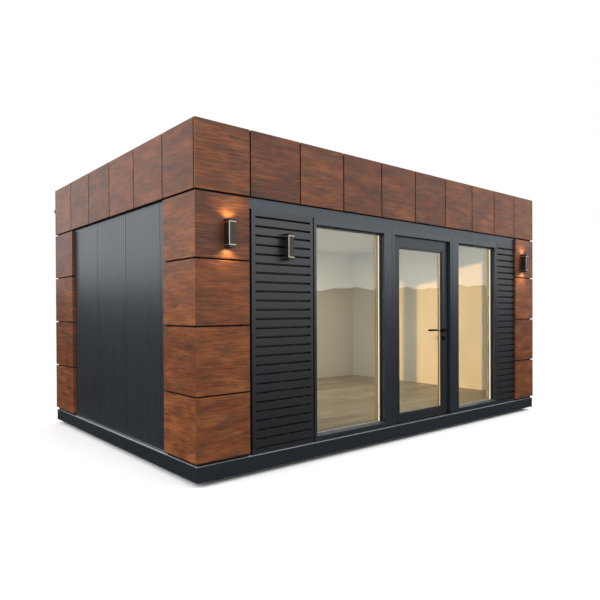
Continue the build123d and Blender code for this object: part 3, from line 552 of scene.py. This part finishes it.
def coated_steel(name, colour, roughness, mask=None, lining=None, dust=0.5, ior=2.0,
                 tint="#E7F5FF", dust_and_light_colour="#A2A4A8"):
    """Coil-coated steel sheet in a polyester paint, rolled faintly wavy.

    The paint is an even dark tone with a broad soft cool highlight.  Its level
    ledges take another colour in patches and lose their gloss: dust, and painted
    light where a piece asks for a pale colour (a painted highlight) or a near
    black one (painted shade).  A mask gives the share of the inner lining's colour.
    """
    material, tree, place = start_material(name)
    # rolling leaves it faintly wavy, in bands 100 mm wide and 2 m tall, 0.2 mm deep
    band = add_node(tree, "Mapping", {"Vector": place, "Scale": (10.0, 10.0, 0.5)})[0]
    sway = add_node(tree, "TexNoise", {"Vector": band, "Scale": 1.0, "Detail": 0.0})[0]
    paler = [min(1.0, value * 1.03) for value in colour[:3]] + [1.0]
    paint = add_node(tree, "Mix", {0: sway, 6: list(colour), 7: paler}, data_type="RGBA")[2]
    # dust and painted light lie on level faces in patches 33 mm across, matt where they are thick
    ledge_patches = add_node(tree, "TexNoise", {"Vector": place, "Scale": 30.0, "Detail": 4.0})[0]
    dust_and_light_share = add_node(tree, "Math", {0: upward(tree), 1: ledge_patches}, operation="MULTIPLY")[0]
    dust_and_light_share = add_node(tree, "Math", {0: dust_and_light_share, 1: 2 * dust}, operation="MULTIPLY")[0]
    paint = add_node(tree, "Mix", {0: dust_and_light_share, 6: paint, 7: linear(dust_and_light_colour)}, data_type="RGBA")[2]
    gleam = add_node(tree, "MapRange", {"Value": dust_and_light_share, "To Min": 0.5, "To Max": 0.05})[0]
    rough = add_node(tree, "MapRange", {
        "Value": sway, "From Min": 0.3, "From Max": 0.7,
        "To Min": roughness - 0.01, "To Max": roughness + 0.01})[0]
    if mask:
        inside = mask(tree, place)
        paint = add_node(tree, "Mix", {0: inside, 6: paint, 7: list(lining)}, data_type="RGBA")[2]
        rough = add_node(tree, "Mix", {0: inside, 2: rough, 3: 0.55}, data_type="FLOAT")[0]
    relief = add_node(tree, "Bump", {"Strength": 0.08, "Distance": 0.2 * MM, "Height": sway})[0]
    shader = add_node(tree, "BsdfPrincipled", {
        "Base Color": paint, "Roughness": rough, "IOR": ior, "Specular Tint": linear(tint),
        "Specular IOR Level": gleam, "Normal": relief})[0]
    return close_material(material, tree, shader)


def plain_steel(name, colour, roughness):
    """Bare, plated or anodised metal, softly spangled.

    The metal's own colour tints its highlights, which are soft and uneven.
    """
    material, tree, place = start_material(name)
    # spangle 17 mm across
    cloud = add_node(tree, "TexNoise", {"Vector": place, "Scale": 60.0, "Detail": 4.0})[0]
    rough = add_node(tree, "MapRange", {
        "Value": cloud, "From Min": 0.3, "From Max": 0.7,
        "To Min": roughness * 0.75, "To Max": roughness * 1.3})[0]
    dull = [value * 0.82 for value in colour[:3]] + [1.0]
    paint = add_node(tree, "Mix", {0: cloud, 6: dull, 7: list(colour)}, data_type="RGBA")[2]
    relief = add_node(tree, "Bump", {"Strength": 0.2, "Distance": 0.1 * MM, "Height": cloud})[0]
    shader = add_node(tree, "BsdfPrincipled", {
        "Base Color": paint, "Metallic": 1.0, "Roughness": rough, "Normal": relief})[0]
    return close_material(material, tree, shader)


def plywood(name):
    """Film-faced plywood: rotary-cut birch under a dark resin film."""
    material, tree, place = start_material(name)
    # figure 250 mm long and 17 mm high
    stretch = add_node(tree, "Mapping", {"Vector": place, "Scale": (2.0, 2.0, 30.0)})[0]
    figure = add_node(tree, "TexNoise", {
        "Vector": stretch, "Scale": 2.0, "Detail": 5.0, "Distortion": 1.0})[0]
    paint = add_node(tree, "ValToRGB", {"Fac": figure}, stops=[
        (0.3, linear("#6E5236")), (0.7, linear("#A98658"))])[0]
    relief = add_node(tree, "Bump", {"Strength": 0.3, "Distance": 0.3 * MM, "Height": figure})[0]
    shader = add_node(tree, "BsdfPrincipled", {
        "Base Color": paint, "Roughness": 0.6, "Normal": relief})[0]
    return close_material(material, tree, shader)


def black_board(name):
    """Fibre-cement boarding painted black: matt, faintly mottled."""
    material, tree, place = start_material(name)
    # flecks of fibre 8 mm across
    fibre = add_node(tree, "TexNoise", {"Vector": place, "Scale": 120.0, "Detail": 4.0})[0]
    paint = add_node(tree, "ValToRGB", {"Fac": fibre}, stops=[
        (0.3, linear("#100E0E")), (0.75, linear("#1D1A19"))])[0]
    relief = add_node(tree, "Bump", {"Strength": 0.3, "Distance": 0.4 * MM, "Height": fibre})[0]
    shader = add_node(tree, "BsdfPrincipled", {
        "Base Color": paint, "Roughness": 0.8, "Normal": relief})[0]
    return close_material(material, tree, shader)


def plank_floor(name):
    """Vinyl planks in a grey-brown oak print, 180 mm wide and 1200 mm long."""
    material, tree, place = start_material(name)
    turn = add_node(tree, "Mapping", {"Vector": place, "Location": (-LOW.x, -LOW.y, 0)})[0]
    planks = add_node(tree, "TexBrick", {
        "Vector": turn, "Color1": (0, 0, 0, 1), "Color2": (1, 1, 1, 1),
        "Mortar": (0.5, 0.5, 0.5, 1), "Scale": 1.0, "Mortar Size": 1.5 * MM,
        "Brick Width": 1.2, "Row Height": 0.18}, offset=0.37)
    # streaks 330 mm long and 22 mm wide
    stretch = add_node(tree, "Mapping", {"Vector": place, "Scale": (3.0, 45.0, 1.0)})[0]
    streak = add_node(tree, "TexNoise", {
        "Vector": stretch, "Scale": 1.0, "Detail": 5.0, "Roughness": 0.6})[0]
    each = add_node(tree, "Math", {
        0: planks["Color"], 1: 0.35, 2: 0.1}, operation="MULTIPLY_ADD")[0]
    tone = add_node(tree, "Math", {0: streak, 1: 0.7, 2: each}, operation="MULTIPLY_ADD")[0]
    paint = add_node(tree, "ValToRGB", {"Fac": tone}, stops=[
        (0.3, linear("#6F6150")), (0.55, linear("#8F7F69")), (0.85, linear("#AA9A82"))])[0]
    paint = add_node(tree, "Mix", {
        0: planks["Fac"], 6: paint, 7: linear("#3E342A")}, data_type="RGBA")[2]
    relief = add_node(tree, "Bump", {"Strength": 0.3, "Distance": 0.4 * MM, "Height": streak})[0]
    shader = add_node(tree, "BsdfPrincipled", {
        "Base Color": paint, "Roughness": 0.42, "Normal": relief})[0]
    return close_material(material, tree, shader)


def roof_membrane(name):
    """Grey synthetic roof sheet, calendered: matt, slightly dusty in the falls."""
    material, tree, place = start_material(name)
    # dust in patches 450 mm across on a grit of 4 mm, coarser than the real 1 mm
    dust = add_node(tree, "TexNoise", {
        "Vector": place, "Scale": 2.2, "Detail": 5.0, "Roughness": 0.6})[0]
    grit = add_node(tree, "TexNoise", {"Vector": place, "Scale": 260.0, "Detail": 2.0})[0]
    paint = add_node(tree, "ValToRGB", {"Fac": dust}, stops=[
        (0.3, linear("#54575A")), (0.7, linear("#7A7C7D"))])[0]
    relief = add_node(tree, "Bump", {"Strength": 0.3, "Distance": 0.5 * MM, "Height": grit})[0]
    shader = add_node(tree, "BsdfPrincipled", {
        "Base Color": paint, "Roughness": 0.7, "Normal": relief})[0]
    return close_material(material, tree, shader)


def lining_board(name, colour):
    """Painted lining: a smooth roller finish with a faint stipple."""
    material, tree, place = start_material(name)
    # stipple 2.5 mm across, with slow changes of tone over 700 mm
    stipple = add_node(tree, "TexNoise", {"Vector": place, "Scale": 400.0, "Detail": 2.0})[0]
    shade = add_node(tree, "TexNoise", {"Vector": place, "Scale": 1.5, "Detail": 2.0})[0]
    dull = [value * 0.94 for value in colour[:3]] + [1.0]
    paint = add_node(tree, "Mix", {0: shade, 6: dull, 7: list(colour)}, data_type="RGBA")[2]
    relief = add_node(tree, "Bump", {"Strength": 0.2, "Distance": 0.2 * MM, "Height": stipple})[0]
    shader = add_node(tree, "BsdfPrincipled", {
        "Base Color": paint, "Roughness": 0.6, "Normal": relief})[0]
    return close_material(material, tree, shader)


def float_glass(name):
    """Clear float glass with a soft coat: a near clear body and bright faces.

    The panes are flat and thin, so what lies behind them shows unbent.  A face
    mirrors 7.5% face on, rising with the fifth power of how far it is turned
    away.
    """
    material, tree, place = start_material(name)
    # the body's tint drifts over 700 mm
    waver = add_node(tree, "TexNoise", {"Vector": place, "Scale": 1.4, "Detail": 1.0})[0]
    tint = add_node(tree, "Mix", {
        0: waver, 6: linear("#F7F8F6"), 7: linear("#FCFDFB")}, data_type="RGBA")[2]
    clear = add_node(tree, "BsdfTransparent", {"Color": tint})[0]
    mirror = add_node(tree, "BsdfPrincipled", {
        "Base Color": linear("#F7FCFF"), "Metallic": 1.0, "Roughness": 0.0})[0]
    turned_away = add_node(tree, "LayerWeight", {"Blend": 0.5})["Facing"]
    steep = add_node(tree, "Math", {0: turned_away, 1: 5.0}, operation="POWER")[0]
    share = add_node(tree, "MapRange", {"Value": steep, "To Min": 0.075, "To Max": 1.0})[0]
    return close_material(material, tree, add_node(tree, "MixShader", {
        0: share, 1: clear, 2: mirror})[0])


def frosted_lens(name, colour):
    """Opal glass over a lamp: a warm glow, all but even."""
    material, tree, place = start_material(name)
    # faint clouds 25 mm across
    cloud = add_node(tree, "TexNoise", {"Vector": place, "Scale": 40.0, "Detail": 2.0})[0]
    paint = add_node(tree, "Mix", {
        0: cloud, 6: list(colour), 7: linear("#FFE2B0")}, data_type="RGBA")[2]
    shader = add_node(tree, "BsdfPrincipled", {
        "Base Color": paint, "Roughness": 0.3, "Emission Color": paint,
        "Emission Strength": 2.5})[0]
    return close_material(material, tree, shader)


def soft_rubber(name):
    """Extruded rubber seal: near black, dull, with a faint bloom."""
    material, tree, place = start_material(name)
    # bloom in patches 11 mm across
    bloom = add_node(tree, "TexNoise", {"Vector": place, "Scale": 90.0, "Detail": 3.0})[0]
    paint = add_node(tree, "ValToRGB", {"Fac": bloom}, stops=[
        (0.3, linear("#0E0E0F")), (0.8, linear("#1D1D1F"))])[0]
    shader = add_node(tree, "BsdfPrincipled", {"Base Color": paint, "Roughness": 0.55})[0]
    return close_material(material, tree, shader)


# ------------------------------------------------------------------ operators
class POD_OT_stage(bpy.types.Operator):
    """Camera, pale floor, soft light and the dark land that glossy faces see"""

    bl_idname = "pod.stage"
    bl_label = "Stage"

    def execute(self, context):
        sizes = context.scene.pod_sizes
        add_camera(context)
        add_world(context, sizes.sky)
        add_floor()
        add_land()
        add_lights(sizes)
        context.scene.view_settings.view_transform = "Standard"
        return {"FINISHED"}


def add_camera(context):
    """Stand the camera off the front left corner at eye height."""
    level = math.cos(PITCH)
    ahead = Vector((math.sin(YAW) * level, math.cos(YAW) * level, math.sin(PITCH)))
    right = Vector((math.cos(YAW), -math.sin(YAW), 0))
    up = right.cross(ahead)
    across = math.cos(ROLL) * right + math.sin(ROLL) * up
    above = -math.sin(ROLL) * right + math.cos(ROLL) * up
    data = bpy.data.cameras.new("camera")
    data.lens, data.sensor_width, data.shift_y = LENS, SENSOR, SHIFT
    data.clip_end = 300.0
    camera = put_in_scene("camera", data)
    turn = Matrix((across, above, -ahead)).transposed().to_4x4()
    camera.matrix_world = Matrix.Translation(EYE) @ turn
    context.scene.camera = camera


def add_world(context, strength):
    """Even white all round: full white where it is seen, less where it lights."""
    world = bpy.data.worlds.new("soft_sky")
    context.scene.world = world
    world.use_nodes = True
    tree = world.node_tree
    tree.nodes.clear()
    level = add_node(tree, "MapRange", {
        "Value": looked_at(tree), "To Min": strength, "To Max": 1.0})[0]
    sky = add_node(tree, "Background", {"Color": (1, 1, 1, 1), "Strength": level})[0]
    add_node(tree, "OutputWorld", {"Surface": sky})


def add_floor():
    """Pale floor far past the view; it keeps the pod's own soft shadow."""
    points = FLOOR_REACH * np.array([(-1, -1, 0), (1, -1, 0), (1, 1, 0), (-1, 1, 0)])
    material, tree, _ = start_material("pale_studio_floor")
    lit, shown = ((level, level, level, 1) for level in (FLOOR_LIT, FLOOR_SHOWN))
    paint = add_node(tree, "Mix", {0: looked_at(tree), 6: lit, 7: shown}, data_type="RGBA")[2]
    close_material(material, tree, add_node(tree, "BsdfDiffuse", {"Color": paint})[0])
    mesh_object("studio_floor", points, [(0, 1, 2, 3)], material)


def add_land():
    """Dark ground and low hills round the pod, seen in reflections only.

    Rows of a disc grow from the middle to 40 m and then climb a wavy rim, whose
    height is a sum of sines of the bearing.
    """
    bearing = np.linspace(0, math.tau, RIM_STEPS + 1)[:-1]
    rim = RIM_HEIGHT + sum(
        height * np.sin(waves * bearing + phase) for height, waves, phase in RIM_WAVES)
    radius = np.array(LAND_RADII)
    ground = np.full_like(rim, 4 * MM)
    height = np.stack([ground] * (len(radius) - 1) + [rim])
    ring = np.stack([np.cos(bearing), np.sin(bearing)], -1)
    points = np.concatenate([radius[:, None, None] * ring[None], height[..., None]], -1)
    faces = band_faces(len(radius) - 1, len(radius), len(bearing))
    material, tree, place = start_material("dark_land_flag")
    tone = add_node(tree, "TexNoise", {"Vector": place, "Scale": 0.35, "Detail": 4.0})[0]
    paint = add_node(tree, "ValToRGB", {"Fac": tone}, stops=[
        (0.3, linear("#1E1F1F")), (0.7, linear("#4A4844"))])[0]
    glow = add_node(tree, "Emission", {"Color": paint, "Strength": 1.0})[0]
    close_material(material, tree, glow)
    land = mesh_object("land_flag", points.reshape(-1, 3), faces, material)
    land.visible_camera = land.visible_diffuse = land.visible_transmission = False
    land.visible_shadow = land.visible_volume_scatter = False


def add_light(name, kind, power, colour, way=(0, 0, -1)):
    """Add a light of a kind and a hex colour that shines along a direction."""
    data = bpy.data.lights.new(name, kind)
    data.energy, data.color = power, linear(colour)[:3]
    light = put_in_scene(name, data)
    light.rotation_euler = Vector(way).to_track_quat("-Z", "Y").to_euler()
    return light


def add_area(name, place, aim, size, power):
    """Add a square white area light that faces a point."""
    light = add_light(name, "AREA", power, "#FFFFFF", Vector(aim) - Vector(place))
    light.data.size = size
    light.location = place
    light.visible_camera = light.visible_glossy = False


def add_sun(name, power, colour):
    """Add a low sun that falls only on the pieces of its own collection.

    It shines through the glazing, so that the front posts throw bands of shade
    on the far wall.
    """
    sun = add_light(name, "SUN", power, colour, SUN_WAY)
    sun.data.angle = SUN_WIDTH
    sun.light_linking.receiver_collection = bpy.data.collections.new(name)


def sun_on(name, *pieces):
    """Put pieces in the collection that a low sun falls on."""
    for piece in pieces:
        bpy.data.collections[name].objects.link(bpy.data.objects[piece])


def add_lights(sizes):
    """Soft lights outside, an even light in the room and a low sun into it."""
    for light in STUDIO:
        add_area(*light)
    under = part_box("ceiling_panel")[0].z - 30 * MM
    x, y = MIDDLE.xy
    add_area("room_light", (x, y, under), (x, y, 0), size=2.4, power=sizes.room_light)
    add_sun("sunlit_room", sizes.evening_sun, "#FFC474")
    add_sun("sunlit_bars", 5.0, "#FFE6CE")
    sun_on("sunlit_room", "right_wall", "back_wall")


class POD_OT_base(bpy.types.Operator):
    """Feet, chassis, plinth skirt and the flashing over it"""

    bl_idname = "pod.base"
    bl_label = "Base"

    def execute(self, context):
        finish(plain_steel("zinc_plated_steel", linear("#A9ADB0"), 0.35), "levelling_feet")
        finish(coated_steel("powder_coated_chassis", linear("#1B1D1F"), 0.45), "base_frame")
        # painted highlight: the skirt's level ledge is coloured pale in patches, standing in for
        # the bright sky it catches, with some dust
        finish(coated_steel(
            "plinth_sheet_coated", linear("#242A31"), 0.30, dust=1.3, dust_and_light_colour="#DDE1EA"),
            "base_skirt")
        # the flashing's level drip is a little paler in patches: dust, and a painted highlight for
        # the sky it catches
        finish(coated_steel("flashing_coated", linear("#262B31"), 0.34, dust=0.35), "base_flashing")
        return {"FINISHED"}


class POD_OT_walls(bpy.types.Operator):
    """Insulated panels, ribbed header, floor and ceiling"""

    bl_idname = "pod.walls"
    bl_label = "Walls"

    def facings(self, material, sizes):
        """Ribbed outer skins between the columns, one per panel.

        The panel joints are the grooves in the CAD wall, so each skin runs
        between two of them.
        """
        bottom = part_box("base_flashing")[1].z + MM
        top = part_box("parapet_frame")[0].z - MM
        runs = (
            ("left_wall", 1, 0, -1, "column_boards_front_left", "column_boards_back_left"),
            ("right_wall", 1, 0, 1, "column_boards_front_right", "column_boards_back_right"),
            ("back_wall", 0, 1, 1, "column_boards_back_left", "column_boards_back_right"),
        )
        for node, along, across, out, first, last in runs:
            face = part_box(node)[1 if out > 0 else 0][across]
            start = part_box(first)[1][along] + SKIN_END
            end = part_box(last)[0][along] - SKIN_END
            corners = np.array([v.co for v in frame["nodes"][node].data.vertices])
            edges = np.unique(corners[:, along].round(4))
            edges = edges[(edges > start) & (edges < end)]
            stops = [start, *edges, end]
            parts = []
            for low, high in zip(stops[::2], stops[1::2]):
                outline = ribbed(low, high, sizes.wall_rib, sizes.rib_depth)
                plan = [(place, face + out * (rise + SKIN_FRONT)) for place, rise in outline]
                plan += [(high, face + out * SKIN_BACK), (low, face + out * SKIN_BACK)]
                points = [(a, b, bottom) if along == 0 else (b, a, bottom) for a, b in plan]
                parts.append(risen(points, top))
            mesh_piece(node + "_facing", join(parts), material, "building")

    def execute(self, context):
        sizes, colours = context.scene.pod_sizes, context.scene.pod_colours
        steel, lining = colours.steel, colours.lining
        finish(coated_steel("wall_panel_coated", steel, 0.30, room_mask, lining),
               "left_wall", "right_wall", "back_wall")
        finish(coated_steel("front_panel_coated", steel, 0.30, behind_glass, lining),
               "front_wall_left", "front_wall_right", "front_wall_head")
        self.facings(coated_steel("wall_facing_coated", steel, 0.28, ior=2.3), sizes)
        low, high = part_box("header_cladding")
        outline = ribbed(low.x, high.x, sizes.header_rib, sizes.rib_depth)
        points = [(x, low.y + sizes.rib_depth - out, low.z) for x, out in outline]
        points += [(high.x, high.y, low.z), (low.x, high.y, low.z)]
        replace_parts(mesh_piece(
            "header_ribbed", risen(points, high.z),
            coated_steel("ribbed_header_sheet", steel, 0.30), "building"),
            "header_cladding")
        finish(plywood("birch_plywood"), "floor_deck")
        finish(plank_floor("vinyl_planks_oak"), "floor_finish")
        finish(lining_board("painted_ceiling_board", linear("#CFCDC8")), "ceiling_panel")
        return {"FINISHED"}


class POD_OT_roof(bpy.types.Operator):
    """Deck, covering, parapet and the rain spout"""

    bl_idname = "pod.roof"
    bl_label = "Roof"

    def execute(self, context):
        finish(plywood("roof_deck_plywood"), "roof_deck")
        finish(roof_membrane("roof_sheet"), "roof_covering")
        finish(roof_membrane("roof_sheet_upstand"), "parapet_kerb")
        finish(black_board("black_fibre_cement"), "parapet_frame")
        finish(coated_steel("coping_sheet", linear("#24272B"), 0.35), "parapet_coping")
        finish(plain_steel("galvanised_spout", linear("#A5A9AC"), 0.38), "rain_spout")
        return {"FINISHED"}


class POD_OT_cladding(bpy.types.Operator):
    """Boards of the fascia and columns, their cores and battens"""

    bl_idname = "pod.cladding"
    bl_label = "Cladding"

    def execute(self, context):
        sizes, colours = context.scene.pod_sizes, context.scene.pod_colours
        wood = board_laminate(colours)
        nodes = sorted(frame["nodes"])
        boards = [name for name in nodes if name.startswith(("fascia_", "column_boards_"))]
        for seed, name in enumerate(boards, BOARD_SEED):
            piece = copied(name, name + "_eased", wood)
            number_boards(piece, seed)
            bevel(piece, sizes.arris)
        cores = [name for name in nodes if name.startswith("column_core_")]
        finish(black_board("black_cavity_board"), "cladding_battens", *cores)
        return {"FINISHED"}


class POD_OT_louvres(bpy.types.Operator):
    """Framed louvres on both sides of the front"""

    bl_idname = "pod.louvres"
    bl_label = "Louvres"

    def execute(self, context):
        # painted shade: the blades' level tops are coloured near black, standing in for the shade
        # in the slots between them, and lose their gloss
        finish(coated_steel(
            "louvre_blades_coated", linear("#1C1D20"), 0.36,
            dust=1.6, tint="#F6F9FF", dust_and_light_colour="#060606"),
            "louvre_left", "louvre_right")
        return {"FINISHED"}


class POD_OT_openings(bpy.types.Operator):
    """Frames, sills, posts and threshold"""

    bl_idname = "pod.openings"
    bl_label = "Openings"

    def execute(self, context):
        colours = context.scene.pod_colours
        steel, lining = colours.steel, colours.lining
        finish(coated_steel("frame_profile_foiled", steel, 0.28, behind_glass, lining, dust=0.1),
               "window_frame_left", "window_frame_right", "door_frame")
        finish(coated_steel("door_leaf_foiled", linear("#25282A"), 0.34, dust=0.1, ior=1.85),
               "door_leaf")
        finish(coated_steel("post_sheet_coated", steel, 0.28, behind_glass, lining), "cover_posts")
        finish(coated_steel("sill_sheet_coated", steel, 0.40, dust=0.1), "window_sills")
        finish(plain_steel("threshold_anodised", linear("#6E7073"), 0.35), "door_threshold")
        return {"FINISHED"}


class POD_OT_glazing(bpy.types.Operator):
    """Sealed units: two panes each with spacer bars, rubber lines and trims"""

    bl_idname = "pod.glazing"
    bl_label = "Glazing"

    def unit(self, low, high, sizes):
        """Panes, spacer ring and rubber rings of one sealed unit."""
        front, back, pane = low[1], high[1], sizes.pane
        panes = [
            boxes((low[0], y, low[2]), (high[0], y + pane, high[2])) for y in (front, back - pane)]
        edge, depth = sizes.spacer, back - front
        profile = [(0, pane), (edge, pane), (edge, depth - pane), (0, depth - pane)]
        bar = upright_loop(profile, *inset(low, high, edge), front)
        lip, seat, step = sizes.gasket, RUBBER_SEAT, RUBBER_STEP
        rings = []
        for y, out in ((front, -1), (back, 1)):
            section = [
                (-lip, 0), (seat, 0), (seat, out * 2 * step), (0, out * 3 * step),
                (-lip, out * step)]
            rings.append(upright_loop(section, *inset(low, high, sizes.bead), y))
        return panes, bar, rings

    def reveal(self, low, high, sizes):
        """Trim round a window's reveal, from its inner bead to the room."""
        start, end = high[1] - low[1] + BEAD_DEPTH + MM / 2, ROOM_LOW.y - low[1]
        outer = sizes.bead - MM
        inner = outer - TRIM
        profile = [(inner, start), (outer, start), (outer, end), (inner, end)]
        return upright_loop(profile, *inset(low, high, sizes.bead), low[1])

    def execute(self, context):
        sizes = context.scene.pod_sizes
        glass = float_glass("float_glass_clear")
        spacers = {
            "building": lining_board("warm_edge_spacer", linear("#F6F4EC")),
            "door": lining_board("door_spacer_grey", linear("#A8A8A8")),
        }
        rubber = soft_rubber("glazing_rubber")
        trim = lining_board("reveal_trim_painted", linear("#958A6E"))
        for node, body in (("window_glass", "building"), ("door_glass", "door")):
            panes, bars, rings, trims = [], [], [], []
            for low, high in parts_of(node):
                made = self.unit(low, high, sizes)
                panes += made[0]
                bars.append(made[1])
                rings += made[2]
                if body == "building":
                    trims.append(self.reveal(low, high, sizes))
            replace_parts(mesh_piece(node + "_panes", join(panes), glass, body), node)
            mesh_piece(node + "_spacers", join(bars), spacers[body], body)
            mesh_piece(node + "_rubber", join(rings), rubber, body)
            if trims:
                mesh_piece("window_reveal_trims", join(trims), trim, body)
        sun_on("sunlit_bars", "window_glass_spacers")
        sun_on("sunlit_room", "window_reveal_trims", "door_glass_spacers")
        return {"FINISHED"}


class POD_OT_door(bpy.types.Operator):
    """Hinges, lever, roses and lock"""

    bl_idname = "pod.door"
    bl_label = "Door"

    def execute(self, context):
        finish(plain_steel("dark_anodised_hardware", linear("#1D1E20"), 0.3),
               "door_lever", "lock_roses")
        finish(coated_steel("hinge_powder_black", linear("#08080A"), 0.5, dust=0.0, ior=1.35),
               "hinges_fixed", "hinges_moving")
        finish(plain_steel("nickel_brass_lock", linear("#B5A67E"), 0.25), "lock_cylinder")
        return {"FINISHED"}


class POD_OT_lamps(bpy.types.Operator):
    """Up-and-down wall lamps with their glow"""

    bl_idname = "pod.lamps"
    bl_label = "Lamps"

    def execute(self, context):
        sizes, colours = context.scene.pod_sizes, context.scene.pod_colours
        finish(coated_steel(
            "lamp_body_coated", linear("#1C1A17"), 0.25, ior=1.7, tint="#FFFDF8"),
            "lamp_bodies")
        finish(plain_steel("polished_trim", linear("#F2EAD8"), 0.30), "lamp_trims")
        finish(frosted_lens("opal_lens", colours.glow), "lamp_lenses")
        lit = bpy.data.collections.new("lamplit_boards")
        for piece in bpy.data.objects:
            if piece.name.startswith(("column_boards_front", "lamp_")):
                lit.objects.link(piece)
        centres = [(low + high) / 2 for low, high in parts_of("lamp_bodies")]
        for index, (low, high) in enumerate(parts_of("lamp_lenses")):
            middle = (low + high) / 2
            own = min(centres, key=lambda centre: abs(centre[0] - middle[0]))
            up = middle[2] > own[2]
            beam = add_light(f"lamp_beam_{index}", "SPOT", sizes.lamp_light, BEAM_COLOUR)
            beam.data.spot_size, beam.data.spot_blend = BEAM_SPREAD, BEAM_EDGE
            beam.data.shadow_soft_size = BEAM_SIZE
            beam.light_linking.receiver_collection = lit
            height = high[2] + BEAM_CLEAR if up else low[2] - BEAM_CLEAR
            beam.location = (middle[0], high[1] - BEAM_OUT, height)
            beam.rotation_euler = (math.pi if up else 0.0, 0, 0)
        return {"FINISHED"}


OPERATORS = (
    POD_OT_stage, POD_OT_base, POD_OT_walls, POD_OT_roof, POD_OT_cladding, POD_OT_louvres,
    POD_OT_openings, POD_OT_glazing, POD_OT_door, POD_OT_lamps,
)


class POD_PT_panel(bpy.types.Panel):
    """Settings and steps of the pod"""

    bl_label = "Garden Office Pod"
    bl_idname = "POD_PT_panel"
    bl_space_type = "VIEW_3D"
    bl_region_type = "UI"
    bl_category = "Pod"

    def draw(self, context):
        for group in (context.scene.pod_sizes, context.scene.pod_colours):
            for name in group.__annotations__:
                self.layout.prop(group, name)
        for operator in OPERATORS:
            self.layout.operator(operator.bl_idname)


CLASSES = (PodSizes, PodColours, *OPERATORS, POD_PT_panel)


def register():
    for item in CLASSES:
        bpy.utils.register_class(item)
    bpy.types.Scene.pod_sizes = bpy.props.PointerProperty(type=PodSizes)
    bpy.types.Scene.pod_colours = bpy.props.PointerProperty(type=PodColours)


def unregister():
    del bpy.types.Scene.pod_colours
    del bpy.types.Scene.pod_sizes
    for item in reversed(CLASSES):
        bpy.utils.unregister_class(item)


def main():
    """Make the pod's looks in order."""
    register()
    for operator in OPERATORS:
        group, name = operator.bl_idname.split(".")
        getattr(getattr(bpy.ops, group), name)()
    bpy.context.view_layer.update()


if __name__ == "__main__":
    main()
